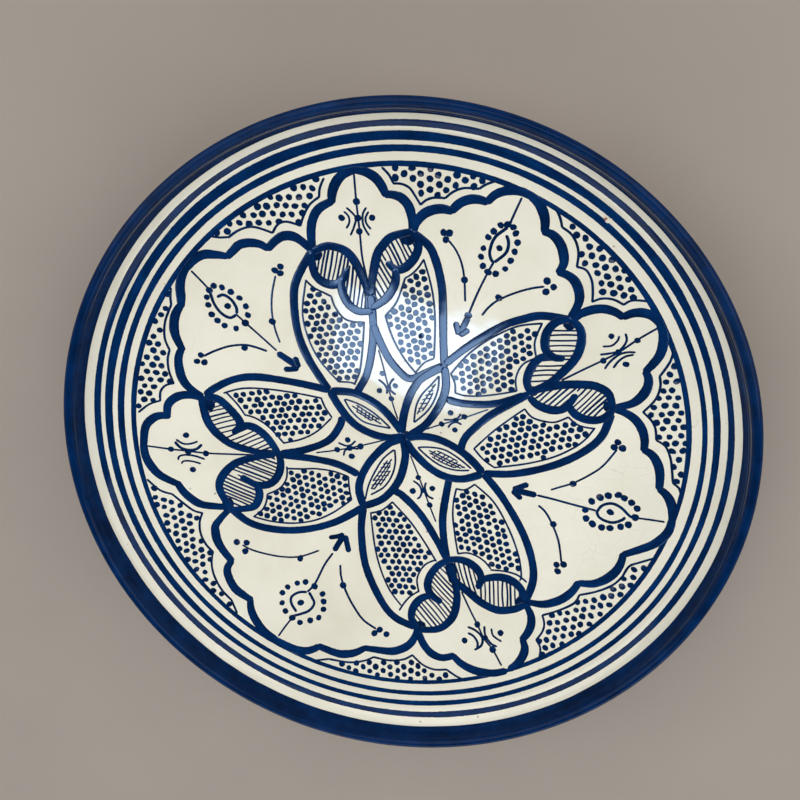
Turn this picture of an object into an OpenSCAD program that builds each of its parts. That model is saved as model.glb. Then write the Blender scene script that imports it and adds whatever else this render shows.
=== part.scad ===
// Hand painted ceramic plate: a thrown clay dish with a glazed face and brushed cobalt pattern.
// Units are millimetres, +Z is up, and the origin is the centre of the foot on the table.

/* [Dish] */
// Diameter over the painted lip
plate_d = 350; // [200:1:450]
// Height of the middle of the eating face above the table
face_z = 13; // [8:0.5:25]
// Radius of the shallow curve of the face
face_curve = 500; // [350:5:900]
// Height of the lip's centre above the middle of the face
lip_rise = 40.9; // [20:0.1:70]
// Radius of the bend between the face and the upright edge
bend_r = 15; // [4:0.5:20]
// Half thickness of the rounded lip
lip_r = 2.6; // [1.5:0.1:5]

/* [Clay] */
// Height of the middle of the underside above the table
under_z = 5; // [2:0.5:12]
// Radius of the curve of the underside
under_curve = 475; // [350:5:900]
// Radius of the heel where the underside turns up to the edge
heel_r = 10; // [4:0.5:20]

/* [Foot] */
// Outer radius of the foot ring
foot_r = 72; // [45:1:110]
// Width of the foot ring where it meets the table
foot_w = 8; // [4:0.5:16]
// How much wider the ring is where it joins the clay
foot_flare = 3; // [0:0.5:8]
// Size of the eased corners of the ring
foot_ease = 1.2; // [0.4:0.1:3]

/* [Glaze] */
// Thickness of the white glaze
glaze_t = 0.6; // [0.3:0.1:1.5]
// How far the glaze runs down outside the lip
glaze_drop = 6; // [2:0.5:12]

/* [Paint] */
// Thickness of the cobalt brushwork
paint_t = 0.2; // [0.1:0.05:0.5]
// How far the rim band runs down outside the lip
band_drop = 4; // [1:0.5:10]
// How far the rim band runs down inside the lip
band_depth = 8; // [4:0.5:12]
// Width of the broad brush
broad = 3.8; // [2:0.1:6]
// Width of the leaf outlines at the centre
leaf_w = 4; // [2:0.1:6]

/* [Hidden] */
paint_r = plate_d / 2;
lip_x = paint_r - lip_r;
lip_z = face_z + lip_rise;
wall_x = lip_x - lip_r + paint_t;
face_o = face_z + face_curve;
under_o = under_z + under_curve;
clay_x = paint_r - paint_t - glaze_t;
bend_x = wall_x - bend_r;
bend_z = face_o - sqrt(pow(face_curve - bend_r, 2) - pow(bend_x, 2));
heel_x = clay_x - heel_r;
heel_z = under_o - sqrt(pow(under_curve - heel_r, 2) - pow(heel_x, 2));
$fn = 96;

// Each row is one brush stroke, as the points that the brush passes through.
leaf_strokes = [
  [[-2, 1], [-1.2, 10], [0.8, 19], [3.8, 27], [8, 33.5], [14, 38], [20.5, 42]],
  [[0, -1], [9.5, 6], [14.5, 12], [18.5, 19], [21.2, 26], [22, 33], [21, 42]],
  [[-1.5, 2], [-6, 8.5], [-11, 14.5], [-17, 19.5], [-24, 23.3], [-31, 25.3], [-41, 25.5]],
  [[-1, 0], [-8, -1], [-15, -0.2], [-21, 2], [-27, 5.5], [-32, 10.5], [-37, 18], [-41, 26]],
  [[0, -1], [6, 0.5], [13, 0.6], [20, -1], [27, -4.2], [33, -8], [38.5, -13], [43.5, -18.5]],
  [[0, -2], [3.5, -7.5], [8, -12.5], [13.5, -17.5], [20, -21.3], [27, -23], [34, -22.5], [43, -19]],
  [[-2, -1.5], [-9, -4.5], [-15, -10], [-20.5, -17], [-24.5, -25], [-26, -33], [-23.5, -43]],
  [[-1, -2], [0.2, -10], [-0.8, -18], [-3.2, -26], [-8, -33.5], [-14, -39], [-23.5, -43]]
];
petal_strokes = [
  [[-41, 26], [-44.5, 31], [-52, 45], [-56.3, 60], [-56.8, 78], [-54, 89], [-45.5, 103]],
  [[-25, 27], [-20.5, 36], [-17.6, 49], [-16.3, 62], [-17, 80]],
  [[-16.2, 64], [-14, 57], [-8.5, 45], [-1, 36], [3, 34.2], [7, 35.5], [12, 38.3], [21, 42.5]],
  [[21, 42.5], [20.3, 58], [19.8, 80], [18.6, 90], [16.3, 99], [12.8, 106.5], [5, 113]],
  [[21, 43], [34, 54.5], [50, 65.8], [60, 70.2], [70, 72.8], [84, 71.5]],
  [[22, 23.5], [30, 21.6], [40, 21.5], [48, 22.6], [56, 25.3], [64, 29]],
  [[31.5, -4], [32.5, 0.5], [35.5, 5], [45, 14.8], [56, 22.8], [66, 30]],
  [[43.5, -18.5], [60, -17], [79, -10.4], [94, -1], [103.7, 10], [107.5, 24]],
  [[43.5, -18.5], [54, -30.8], [65.5, -49], [72, -65], [73.6, -78], [70, -91]],
  [[24, -25], [22.4, -40], [21.8, -50], [23.2, -63], [25, -72]],
  [[-7, -32.5], [-1, -35.6], [9.5, -46.5], [18.5, -60.5], [25, -72]],
  [[-23.5, -43], [-24.7, -58], [-22, -79], [-13.3, -98.4], [-4.5, -108.8], [8, -114]],
  [[-23.5, -43.5], [-40, -53.3], [-58, -58.1], [-75, -57.8], [-89, -53.2], [-100, -43]],
  [[-26, -24], [-38, -18], [-52, -14.9], [-70, -12.5]],
  [[-35, 11], [-36, 5.5], [-43, -4], [-57, -9.8], [-70, -12]],
  [[-41, 26], [-60, 30.4], [-80, 33.6], [-92, 32.3], [-102.5, 27.5], [-108, 23]]
];
lobe_strokes = [
  [[-45, 102.5], [-38, 105.4], [-30, 103.7], [-25, 98.7], [-21, 90], [-18, 80]],
  [[-45.5, 102], [-46, 96], [-44.5, 90], [-40.5, 86.3], [-35, 85.4], [-31, 88.5], [-28.5, 93.5]],
  [[-31, 88.5], [-32, 85], [-31, 79.5], [-28, 74], [-23, 71], [-16.5, 71.5]],
  [[-17, 80], [-16.2, 87], [-13.2, 100.5], [-10, 106], [-5, 110.7], [5, 113.5]],
  [[5, 113], [7.5, 108.5], [7.3, 103.5], [4.7, 98.7], [0.5, 94.7], [-4, 94], [-8, 97.5]],
  [[-4, 94], [-4, 88.5], [-6, 83], [-10, 77.7], [-16.5, 73]],
  [[83, 72], [77, 70], [73, 65], [72, 59], [73.2, 54], [77, 51], [82, 51]],
  [[76, 51.5], [71, 50.5], [67.5, 47], [65, 41.5], [64.3, 36], [66, 31]],
  [[84.5, 71.5], [88.4, 67.5], [89.7, 61], [88, 52.5], [83, 44.8], [76, 37], [67, 31.5]],
  [[66, 30.5], [72, 33.3], [83, 36.5], [94, 37.7], [100, 37], [105.5, 33.5], [108, 25]],
  [[66, 28], [69.5, 24.6], [74.5, 22.4], [80, 21.9], [85, 24.3], [89.3, 31.5]],
  [[86, 26], [88, 22.5], [91.5, 19.8], [97, 18.5], [103, 19.8], [108, 25]],
  [[25, -72], [32, -71.2], [38, -72.7], [43, -76.7], [44.7, -81.5], [43, -87]],
  [[44.5, -82.5], [48, -80.4], [56, -78.8], [63, -80.5], [67.5, -84.5], [69.5, -90]],
  [[28, -80], [31, -85], [38, -90], [46, -95.5], [55, -98.2], [64, -96.3], [70, -92.5]],
  [[25, -72.5], [19.5, -76.5], [15.5, -82.5], [14.3, -89], [17, -94.3], [22.5, -97.5]],
  [[16.5, -94], [11.5, -96], [7.8, -99.7], [5.6, -104.5], [5.7, -109.5], [9, -114.5]],
  [[27, -76], [31, -90], [31.3, -97], [30, -104], [26.5, -109.5], [20.5, -113.8], [11, -115]],
  [[-73, -12], [-89, -15.2], [-97, -19], [-103, -26], [-104, -33.5], [-98.5, -45]],
  [[-71, -12], [-69.8, -17.5], [-71.5, -25], [-76.5, -30.2], [-84, -30.5], [-92, -25.5]],
  [[-84, -30.5], [-82.4, -35], [-83.2, -40], [-86.8, -44.3], [-98, -45.5]],
  [[-110, 22], [-109.3, 14.5], [-107, 6], [-101.5, -1.5], [-93.5, -7.3], [-76, -12.5]],
  [[-108, 22.5], [-102.5, 21.8], [-98, 18], [-91.7, 9.3], [-91, 4.5], [-95, 1]],
  [[-91.5, 4.3], [-87, 5], [-82, 3], [-76, -3], [-70.5, -12.5]]
];
small_cartouche_strokes = [
  [[-45, 104], [-45.2, 111], [-43.8, 118.5], [-40, 124.3], [-33.5, 127.7]],
  [[-33.7, 127], [-33.2, 131.5], [-31, 136.5], [-27, 140.6], [-21, 142.8]],
  [[-22, 142.7], [-16, 141.5], [-11.5, 138.5], [-8.8, 134.5], [-7.3, 130.7]],
  [[-7.8, 131.2], [-3.5, 131], [0.5, 129.3], [3.5, 125.5], [4.9, 119.5], [4.8, 113]],
  [[84.5, 71.5], [88, 75], [93, 77.5], [98.5, 78.5], [104, 77.3], [108, 74.8]],
  [[107.8, 75], [112, 77.4], [117, 78], [121.5, 76.5], [125.5, 72.5]],
  [[124.5, 73.5], [126.6, 69], [127.3, 63], [126, 56], [121, 47.8]],
  [[121, 48.2], [123, 44], [122.6, 38.5], [120, 33.5], [116, 29.8], [109, 27]],
  [[9.5, -114], [10.8, -119], [13.5, -124], [18, -128.3], [24.5, -130], [31, -127.8]],
  [[30.5, -128], [34.5, -131.5], [40, -134], [46, -135.2], [58, -133.8]],
  [[63, -131], [67, -127.5], [70, -122.5], [71, -117.5], [69.3, -113]],
  [[69, -113.5], [72, -109], [73.8, -103.5], [73.3, -98], [70.5, -93]],
  [[-109.5, 21.5], [-114, 23.6], [-119.5, 24], [-124.5, 22], [-127.8, 18], [-128.6, 11.5]],
  [[-127.5, 12], [-132.5, 12.6], [-137, 10.5], [-140.6, 5.5], [-142.5, -6]],
  [[-142.3, -3], [-142, -10], [-139.5, -17], [-135, -23], [-126.5, -28.5]],
  [[-126.8, -27.5], [-124, -33], [-119, -38.5], [-113, -42], [-99, -44]]
];
large_cartouche_strokes = [
  [[-46, 103.5], [-49.5, 107.2], [-54, 110.2], [-59, 110.4], [-63.5, 107.7], [-67.5, 103.7]],
  [[-67.2, 104], [-71, 106.3], [-76, 107], [-81, 106], [-84.5, 103], [-88, 99.8]],
  [[-88, 100.2], [-93, 101], [-99, 101.2], [-104, 98.6], [-108.5, 94]],
  [[-108, 95], [-111, 90.5], [-112.9, 85], [-113.4, 79], [-114, 74]],
  [[-113.8, 75], [-117, 70.5], [-118.9, 64.5], [-119, 58], [-116.5, 49.5]],
  [[-117, 50.5], [-119, 46], [-119.5, 40], [-118.6, 33.5], [-115.5, 28], [-109.5, 23]],
  [[5.5, 113.5], [7, 118], [11, 122.3], [16, 124.4], [20.5, 124.6], [24.5, 123.6]],
  [[24, 123.6], [27, 126.8], [31, 129], [36, 129.6], [41, 128.3]],
  [[40.8, 128.2], [44, 131.6], [48.5, 133.6], [53, 134], [58, 133]],
  [[60, 132.3], [64, 129], [66.8, 124.5], [68.1, 119.5], [68, 115]],
  [[67.5, 115.2], [72, 113.7], [75.8, 109.5], [77.8, 104], [78, 99.5], [76, 95.2]],
  [[75.8, 95.7], [80.5, 94.3], [84.5, 90.8], [86.7, 85], [86.4, 79.5], [83.5, 73]],
  [[109, 26], [114, 24.7], [119, 21.8], [122.7, 17], [124.6, 11], [124.7, 5.3]],
  [[124.5, 5.8], [128.5, 4], [131.8, -0.5], [133.6, -6.5], [134, -14.5]],
  [[134, -14.3], [137.3, -16.6], [140, -20.5], [141.5, -26], [141.7, -31]],
  [[141.7, -30], [140.6, -36.5], [137, -42.5], [131.5, -47.5], [119.8, -54.5]],
  [[119.8, -54], [118.8, -60], [116, -65.8], [111, -71], [105, -74.3], [98, -75.2]],
  [[98, -74.8], [95.4, -80], [91, -85], [85.5, -88.7], [79, -91], [71, -91]],
  [[9, -114], [7.8, -119.5], [4.5, -124.5], [-1, -127.8], [-7.5, -129.2], [-22, -128.2]],
  [[-21.5, -128.2], [-26.5, -131], [-32.5, -132.3], [-38.5, -131.8], [-49, -128]],
  [[-48.5, -128.3], [-54, -130.7], [-60, -130.7], [-67, -128.3], [-73.5, -124.5]],
  [[-73, -125], [-80.2, -119.6], [-85.2, -113.2], [-88.2, -106.5], [-88.8, -100]],
  [[-88, -100.5], [-92.5, -97.5], [-97.3, -93.3], [-100.6, -87], [-101.6, -81], [-99, -76.3]],
  [[-98.8, -76.8], [-103, -71], [-106.3, -65], [-107.6, -59], [-106.8, -53.5], [-99, -44.5]]
];

function end_point(p, i) =
  i < 0 ? 2 * p[0] - p[1] :
  i >= len(p) ? 2 * p[len(p) - 1] - p[len(p) - 2] : p[i];
function bow(a, b, c, d, t) =
  0.5 * (2 * b + (c - a) * t + (2 * a - 5 * b + 4 * c - d) * t * t
  + (3 * b - a - 3 * c + d) * t * t * t);
function smooth(p) = [
  for (i = [0 : len(p) - 2]) for (k = [0 : 2])
    bow(end_point(p, i - 1), p[i], p[i + 1], end_point(p, i + 2), k / 3),
  p[len(p) - 1]
];
function edge(q, w) = [
  for (i = [0 : len(q) - 1])
    let (d = q[min(i + 1, len(q) - 1)] - q[max(i - 1, 0)])
    q[i] + [-d[1], d[0]] / norm(d) * w / 2
];
function backward(q) = [for (i = [len(q) - 1 : -1 : 0]) q[i]];

// The round end of a stroke at c, where the brush travels along d.
function cap(c, d, w) = [
  for (t = [60 : -30 : -60])
    c + w / 2 * ([-d[1], d[0]] * sin(t) + d * cos(t)) / norm(d)
];

// One brush stroke of even width with round ends.
module brush(p, w) {
  q = smooth(p);
  n = len(q) - 1;
  polygon(concat(edge(q, w), cap(q[n], q[n] - q[n - 1], w),
    backward(edge(q, -w)), cap(q[0], q[0] - q[1], w)));
}

module brush_all(strokes, w) {
  for (p = strokes) brush(p, w);
}

// Lays a flat drawing on the curved face as a coat of paint.
module on_face() {
  difference() {
    intersection() {
      translate([0, 0, face_z - 2]) linear_extrude(30) children();
      translate([0, 0, face_o]) rotate([90, 0, 0]) sphere(face_curve, $fn = 200);
    }
    translate([0, 0, face_o]) rotate([90, 0, 0]) sphere(face_curve - paint_t, $fn = 200);
  }
}

// The open inside of the dish as a half section, grown outward by d.
module hollow(d) {
  difference() {
    intersection() {
      translate([0, face_o]) circle(face_curve + d, $fn = 200);
      translate([0, face_z - 5]) square([wall_x + d, lip_z - face_z + 5]);
    }
    difference() {
      polygon([
        [bend_x, bend_z],
        [bend_x * (face_curve + 9) / (face_curve - bend_r),
          face_o - (face_o - bend_z) * (face_curve + 9) / (face_curve - bend_r)],
        [wall_x + 9, bend_z - 9],
        [wall_x + 9, bend_z]
      ]);
      translate([bend_x, bend_z]) circle(bend_r + d);
    }
  }
}

// The upper half of a ring round the lip, as a half section.
module lip_cap(outside, inside) {
  difference() {
    translate([lip_x, lip_z]) circle(outside);
    translate([lip_x, lip_z]) circle(inside);
    translate([lip_x - 9, lip_z - 18]) square([18, 18]);
  }
}

// A painted line of even width round the face.
module face_line(inner_r, outer_r) {
  rotate_extrude($fn = 200) difference() {
    intersection() {
      translate([0, face_o]) circle(face_curve, $fn = 200);
      translate([inner_r, face_z]) square([outer_r - inner_r, lip_rise]);
    }
    translate([0, face_o]) circle(face_curve - paint_t, $fn = 200);
  }
}

module clay_body() {
  color("#b4643c") rotate_extrude($fn = 200) difference() {
    union() {
      intersection() {
        translate([0, under_o]) circle(under_curve, $fn = 200);
        square([clay_x, lip_z]);
      }
      translate([lip_x, lip_z]) circle(lip_r - paint_t - glaze_t);
    }
    hollow(glaze_t);
    difference() {
      polygon([
        [heel_x, heel_z],
        [heel_x * (under_curve + 9) / (under_curve - heel_r),
          under_o - (under_o - heel_z) * (under_curve + 9) / (under_curve - heel_r)],
        [clay_x + 20, heel_z - 20],
        [clay_x + 20, heel_z]
      ]);
      translate([heel_x, heel_z]) circle(heel_r);
    }
  }
}

module foot_ring() {
  color("#a85a34") rotate_extrude($fn = 200) difference() {
    polygon([
      [foot_r - foot_w + foot_ease, 0],
      [foot_r - foot_ease, 0],
      [foot_r, foot_ease],
      [foot_r + foot_flare, under_z + 20],
      [foot_r - foot_w - foot_flare, under_z + 20],
      [foot_r - foot_w, foot_ease]
    ]);
    translate([0, under_o]) circle(under_curve, $fn = 200);
  }
}

module glaze_coat() {
  color("#e4e3d2") rotate_extrude($fn = 200) {
    difference() {
      hollow(glaze_t);
      hollow(0);
      translate([bend_x, lip_z - band_depth]) square([30, band_depth + 9]);
    }
    translate([clay_x, lip_z - glaze_drop]) square([glaze_t, glaze_drop - band_drop]);
  }
}

// The cobalt sinks right through the glaze on the lip, so this coat lies on the clay.
module rim_band() {
  color("#0e2c62") rotate_extrude($fn = 200) {
    intersection() {
      difference() {
        hollow(glaze_t);
        hollow(-paint_t);
      }
      translate([bend_x, lip_z - band_depth]) square([30, band_depth]);
    }
    lip_cap(lip_r, lip_r - paint_t - glaze_t);
    translate([clay_x, lip_z - band_drop]) square([glaze_t + paint_t, band_drop]);
  }
}

module outer_line() {
  color("#0e2c62") face_line(162.5, 165);
}

module middle_line() {
  color("#0e2c62") face_line(156.4, 159.6);
}

module inner_line() {
  color("#0e2c62") face_line(150.9, 153.9);
}

module field_ring() {
  color("#0e2c62") face_line(144.7, 146.9);
}

module center_leaves() {
  color("#0e2c62") on_face() brush_all(leaf_strokes, leaf_w);
}

module petals() {
  color("#0e2c62") on_face() difference() {
    brush_all(petal_strokes, broad);
    brush_all(leaf_strokes, leaf_w);
  }
}

module lobed_leaves() {
  color("#0e2c62") on_face() difference() {
    brush_all(lobe_strokes, broad);
    brush_all(petal_strokes, broad);
  }
}

module small_cartouches() {
  color("#0e2c62") on_face() difference() {
    brush_all(small_cartouche_strokes, broad);
    brush_all(lobe_strokes, broad);
    brush_all(petal_strokes, broad);
    difference() {
      circle(150, $fn = 200);
      circle(144.7, $fn = 200);
    }
  }
}

module large_cartouches() {
  color("#0e2c62") on_face() difference() {
    brush_all(large_cartouche_strokes, broad);
    brush_all(small_cartouche_strokes, broad);
    brush_all(lobe_strokes, broad);
    brush_all(petal_strokes, broad);
    difference() {
      circle(150, $fn = 200);
      circle(144.7, $fn = 200);
    }
  }
}

clay_body();
foot_ring();
glaze_coat();
rim_band();
outer_line();
middle_line();
inner_line();
field_ring();
center_leaves();
petals();
lobed_leaves();
small_cartouches();
large_cartouches();
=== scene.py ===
"""Looks of a hand painted ceramic plate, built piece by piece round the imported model.

The drawing is given in millimetres on the plan of the plate; every mesh is in metres.
"""
import math
import random

import bmesh
import bpy
from mathutils import Matrix, Vector


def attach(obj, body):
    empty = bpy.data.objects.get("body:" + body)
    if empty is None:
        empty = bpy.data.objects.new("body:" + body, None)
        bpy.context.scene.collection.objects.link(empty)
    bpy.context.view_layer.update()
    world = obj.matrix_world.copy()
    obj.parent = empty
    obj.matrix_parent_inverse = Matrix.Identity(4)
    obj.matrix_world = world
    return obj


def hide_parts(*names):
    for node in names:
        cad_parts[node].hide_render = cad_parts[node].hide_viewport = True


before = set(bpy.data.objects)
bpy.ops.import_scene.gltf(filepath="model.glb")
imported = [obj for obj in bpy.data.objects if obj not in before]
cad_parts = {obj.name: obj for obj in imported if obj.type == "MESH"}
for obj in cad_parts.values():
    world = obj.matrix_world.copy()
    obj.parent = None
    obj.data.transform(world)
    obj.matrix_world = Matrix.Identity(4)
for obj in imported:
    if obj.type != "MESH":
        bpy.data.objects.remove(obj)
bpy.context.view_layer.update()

MM = 0.001


# ---------------------------------------------------------------- clay body
# The dish itself: red earthenware thrown on a wheel, turned on the outside
# and fired once before it was glazed. Its underside stays bare clay.

def add(tree, kind, sources=(), **settings):
    """Adds one node to a tree. Each source fills an input with a value or a link."""
    made = tree.nodes.new(kind)
    for setting, value in settings.items():
        setattr(made, setting, value)
    for key, value in sources:
        if isinstance(value, bpy.types.NodeSocket):
            tree.links.new(value, made.inputs[key])
        else:
            made.inputs[key].default_value = value
    return made


def sum_of(tree, operation, first, second=0.0, third=None):
    """One Math node, and its result."""
    sources = [(0, first), (1, second)] + ([(2, third)] if third is not None else [])
    return add(tree, "ShaderNodeMath", sources, operation=operation).outputs[0]


def vector_sum(tree, operation, first, second):
    """One Vector Math node of two vectors, and its result."""
    return add(tree, "ShaderNodeVectorMath", [(0, first), (1, second)],
               operation=operation).outputs[0]


def scaled(tree, vector, factor):
    """A vector times a number."""
    return add(tree, "ShaderNodeVectorMath", [(0, vector), ("Scale", factor)],
               operation="SCALE").outputs[0]


def point_of(tree, x=0.0, y=0.0, z=0.0):
    """A vector from its three numbers."""
    return add(tree, "ShaderNodeCombineXYZ", [(0, x), (1, y), (2, z)]).outputs[0]


def parts_of(tree, vector):
    """The three numbers of a vector."""
    return add(tree, "ShaderNodeSeparateXYZ", [(0, vector)]).outputs


def stretched(tree, value, low, high, to_low=0.0, to_high=1.0):
    """A value moved from one range to another, and held inside it."""
    return add(tree, "ShaderNodeMapRange", [
        ("Value", value), ("From Min", low), ("From Max", high), ("To Min", to_low),
        ("To Max", to_high)]).outputs[0]


def mixed(tree, share, colour, other):
    """One colour turned into another by a share."""
    return add(tree, "ShaderNodeMix", [("Factor", share), ("A", colour), ("B", (*other, 1.0))],
               data_type="RGBA").outputs["Result"]


def read(tree, label, data_type="FLOAT"):
    """The value that points carry under a label."""
    return add(tree, "GeometryNodeInputNamedAttribute", [("Name", label)],
               data_type=data_type).outputs["Attribute"]


def stored(tree, shape, label, value, data_type="FLOAT"):
    """A shape whose points carry a value under a label."""
    return add(tree, "GeometryNodeStoreNamedAttribute",
               [("Geometry", shape), ("Name", label), ("Value", value)],
               data_type=data_type, domain="POINT").outputs[0]


def painted(tree, shape, finish):
    """A shape made real, with its material: the end of every geometry tree."""
    shape = add(tree, "GeometryNodeRealizeInstances", [("Geometry", shape)]).outputs[0]
    return add(tree, "GeometryNodeSetMaterial",
               [("Geometry", shape), ("Material", finish)]).outputs[0]


def dish_height(tree, dish, x, y):
    """How high the dish stands under a place on its plan."""
    surface = add(tree, "GeometryNodeObjectInfo", [("Object", dish)],
                  transform_space="RELATIVE").outputs["Geometry"]
    hit = add(tree, "GeometryNodeRaycast", [
        ("Target Geometry", surface), ("Source Position", point_of(tree, x, y, 0.2)),
        ("Ray Direction", (0.0, 0.0, -1.0)), ("Ray Length", 1.0)]).outputs["Hit Position"]
    return parts_of(tree, hit)[2]


def new_tree(name, kind, inputs, outputs):
    """A node group with named sockets, with its input and output nodes."""
    tree = bpy.data.node_groups.new(name, kind)
    for label, socket in inputs:
        tree.interface.new_socket(name=label, in_out="INPUT", socket_type=socket)
    for label, socket in outputs:
        tree.interface.new_socket(name=label, in_out="OUTPUT", socket_type=socket)
    return tree, tree.nodes.new("NodeGroupInput").outputs, tree.nodes.new("NodeGroupOutput").inputs


GEOMETRY = "NodeSocketGeometry"
FLOAT = "NodeSocketFloat"
COLOUR = "NodeSocketColor"
INTEGER = "NodeSocketInt"
MATERIAL = "NodeSocketMaterial"
OBJECT = "NodeSocketObject"


def wheel_tree():
    """Turns a half section round the wheel's axis.

    Points of the section may slip along the wall by an uneven amount, as the
    edge of a glaze does, and may carry the ridges that a potter's tool leaves.
    """
    tree, given, result = new_tree("thrown on the wheel", "GeometryNodeTree", [
        ("Section", GEOMETRY), ("Turns", INTEGER), ("Unevenness", FLOAT),
        ("Uneven Size", FLOAT), ("Ridge Height", FLOAT), ("Ridge Pitch", FLOAT),
        ("Seed", FLOAT), ("Finish", MATERIAL)], [("Body", GEOMETRY)])
    section = given["Section"]
    count = add(tree, "GeometryNodeAttributeDomainSize", [("Geometry", section)],
                component="MESH").outputs["Point Count"]
    columns = sum_of(tree, "ADD", given["Turns"], 1)
    sheet = add(tree, "GeometryNodeMeshGrid",
                [("Vertices X", columns), ("Vertices Y", count)]).outputs["Mesh"]
    index = add(tree, "GeometryNodeInputIndex").outputs[0]
    row = add(tree, "FunctionNodeIntegerMath", [(0, index), (1, count)],
              operation="MODULO").outputs[0]
    column = add(tree, "FunctionNodeIntegerMath", [(0, index), (1, count)],
                 operation="DIVIDE_FLOOR").outputs[0]
    angle = sum_of(tree, "MULTIPLY", sum_of(tree, "DIVIDE", column, given["Turns"]), math.tau)

    def along_section(value, data_type):
        return add(tree, "GeometryNodeSampleIndex",
                   [("Geometry", section), ("Value", value), ("Index", row)],
                   data_type=data_type, domain="POINT").outputs[0]

    place = along_section(add(tree, "GeometryNodeInputPosition").outputs[0], "FLOAT_VECTOR")
    slip = along_section(read(tree, "slip", "FLOAT_VECTOR"), "FLOAT_VECTOR")
    ridge = along_section(read(tree, "ridge"), "FLOAT")
    cosine, sine = sum_of(tree, "COSINE", angle), sum_of(tree, "SINE", angle)
    wander = add(tree, "ShaderNodeTexNoise",
                 [("Vector", point_of(tree, cosine, sine)), ("W", given["Seed"]),
                  ("Scale", given["Uneven Size"]), ("Detail", 3.0)],
                 noise_dimensions="4D").outputs[0]
    wander = sum_of(tree, "MULTIPLY", sum_of(tree, "SUBTRACT", wander, 0.5), given["Unevenness"])
    across = parts_of(tree, vector_sum(tree, "ADD", place, scaled(tree, slip, wander)))
    spiral = sum_of(tree, "ADD", sum_of(tree, "DIVIDE", across[0], given["Ridge Pitch"]),
                    sum_of(tree, "DIVIDE", column, given["Turns"]))
    wave = sum_of(tree, "SINE", sum_of(tree, "MULTIPLY", spiral, math.tau))
    lift = sum_of(tree, "MULTIPLY", sum_of(tree, "MULTIPLY", wave, ridge), given["Ridge Height"])
    turned = point_of(tree, sum_of(tree, "MULTIPLY", across[0], cosine),
                      sum_of(tree, "MULTIPLY", across[0], sine),
                      sum_of(tree, "ADD", across[2], lift))
    body = add(tree, "GeometryNodeSetPosition",
               [("Geometry", sheet), ("Position", turned)]).outputs[0]
    rim_reach = 0.17
    body = stored(tree, body, "brush", point_of(
        tree, sum_of(tree, "DIVIDE", row, count), sum_of(tree, "MULTIPLY", cosine, rim_reach),
        sum_of(tree, "MULTIPLY", sine, rim_reach)), "FLOAT_VECTOR")
    body = add(tree, "GeometryNodeMergeByDistance",
               [("Geometry", body), ("Distance", 0.000002)]).outputs[0]
    tree.links.new(painted(tree, body, given["Finish"]), result["Body"])
    return tree


def grown(piece, *steps):
    """Runs geometry trees on a piece, one after the other, and keeps a plain closed mesh."""
    for tree, values in steps:
        growth = piece.modifiers.new(tree.name, "NODES")
        growth.node_group = tree
        for socket in tree.interface.items_tree:
            if socket.in_out == "INPUT" and socket.name in values:
                growth[socket.identifier] = values[socket.name]
    ready = piece.evaluated_get(bpy.context.evaluated_depsgraph_get())
    mesh = bpy.data.meshes.new_from_object(ready)
    piece.modifiers.clear()
    piece.data = mesh
    shell = bmesh.new()
    shell.from_mesh(mesh)
    bmesh.ops.recalc_face_normals(shell, faces=shell.faces)
    for face in shell.faces:
        face.smooth = True
    for edge in shell.edges:
        edge.smooth = edge.calc_face_angle(0.0) < math.radians(32)
    shell.to_mesh(mesh)
    shell.free()
    return piece


def flat_piece(name, points, edges=(), faces=(), **carried):
    """An object whose points, in millimetres, carry named values for a tree to read."""
    mesh = bpy.data.meshes.new(name)
    mesh.from_pydata([[value * MM for value in point] for point in points], edges, faces)
    for label, values in carried.items():
        if isinstance(values[0], (tuple, list)):
            mesh.attributes.new(label, "FLOAT_VECTOR", "POINT").data.foreach_set(
                "vector", [part for value in values for part in value])
        else:
            mesh.attributes.new(label, "FLOAT", "POINT").data.foreach_set("value", values)
    piece = bpy.data.objects.new(name, mesh)
    bpy.context.scene.collection.objects.link(piece)
    return piece


def arc(centre, radius, start, end, steps):
    """Points of a half section along an arc, angles in degrees from straight outward."""
    turns = [math.radians(start + (end - start) * i / steps) for i in range(steps + 1)]
    return [(centre[0] + radius * math.cos(t), centre[1] + radius * math.sin(t)) for t in turns]


def thrown(name, section, slip, ridge, **values):
    """A body of revolution from its half section in millimetres."""
    count = len(section)
    piece = flat_piece(name, [(r, 0.0, z) for r, z in section],
                       [(i, i + 1) for i in range(count - 1)],
                       slip=[(x, 0.0, z) for x, z in slip], ridge=ridge)
    settings = {"Turns": 360, "Unevenness": 0.0, "Uneven Size": 3.0, "Ridge Height": 0.0,
                "Ridge Pitch": 0.006, "Seed": 0.0}
    settings.update(values)
    return grown(piece, (thrown_on_wheel, settings))


thrown_on_wheel = wheel_tree()

FACE_MIDDLE = (0.0, 513.0)      # centre of the sphere that the face is part of
FACE_R = 500.0                  # radius of the glazed face
UNDER_MIDDLE = (0.0, 480.0)
UNDER_R = 475.0
BEND = (155.0, 53.435)          # centre of the bend from the face up to the edge
BEND_R = 15.0
LIP = (172.4, 53.9)             # centre of the rounded lip
HEEL = (164.2, 44.7)            # centre of the heel under the edge
FACE_END = math.degrees(math.atan2(BEND[1] - FACE_MIDDLE[1], BEND[0]))
HEEL_END = math.degrees(math.atan2(HEEL[1] - UNDER_MIDDLE[1], HEEL[0]))


def inside_wall(depth, lip_r, face_steps=90):
    """The section of the face, bend, edge and lip, at a depth under the glaze's surface."""
    return (arc(FACE_MIDDLE, FACE_R + depth, -90, FACE_END, face_steps)
            + arc(BEND, BEND_R + depth, FACE_END, 0, 28)[1:]
            + arc(LIP, lip_r, 180, 0, 20))


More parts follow.
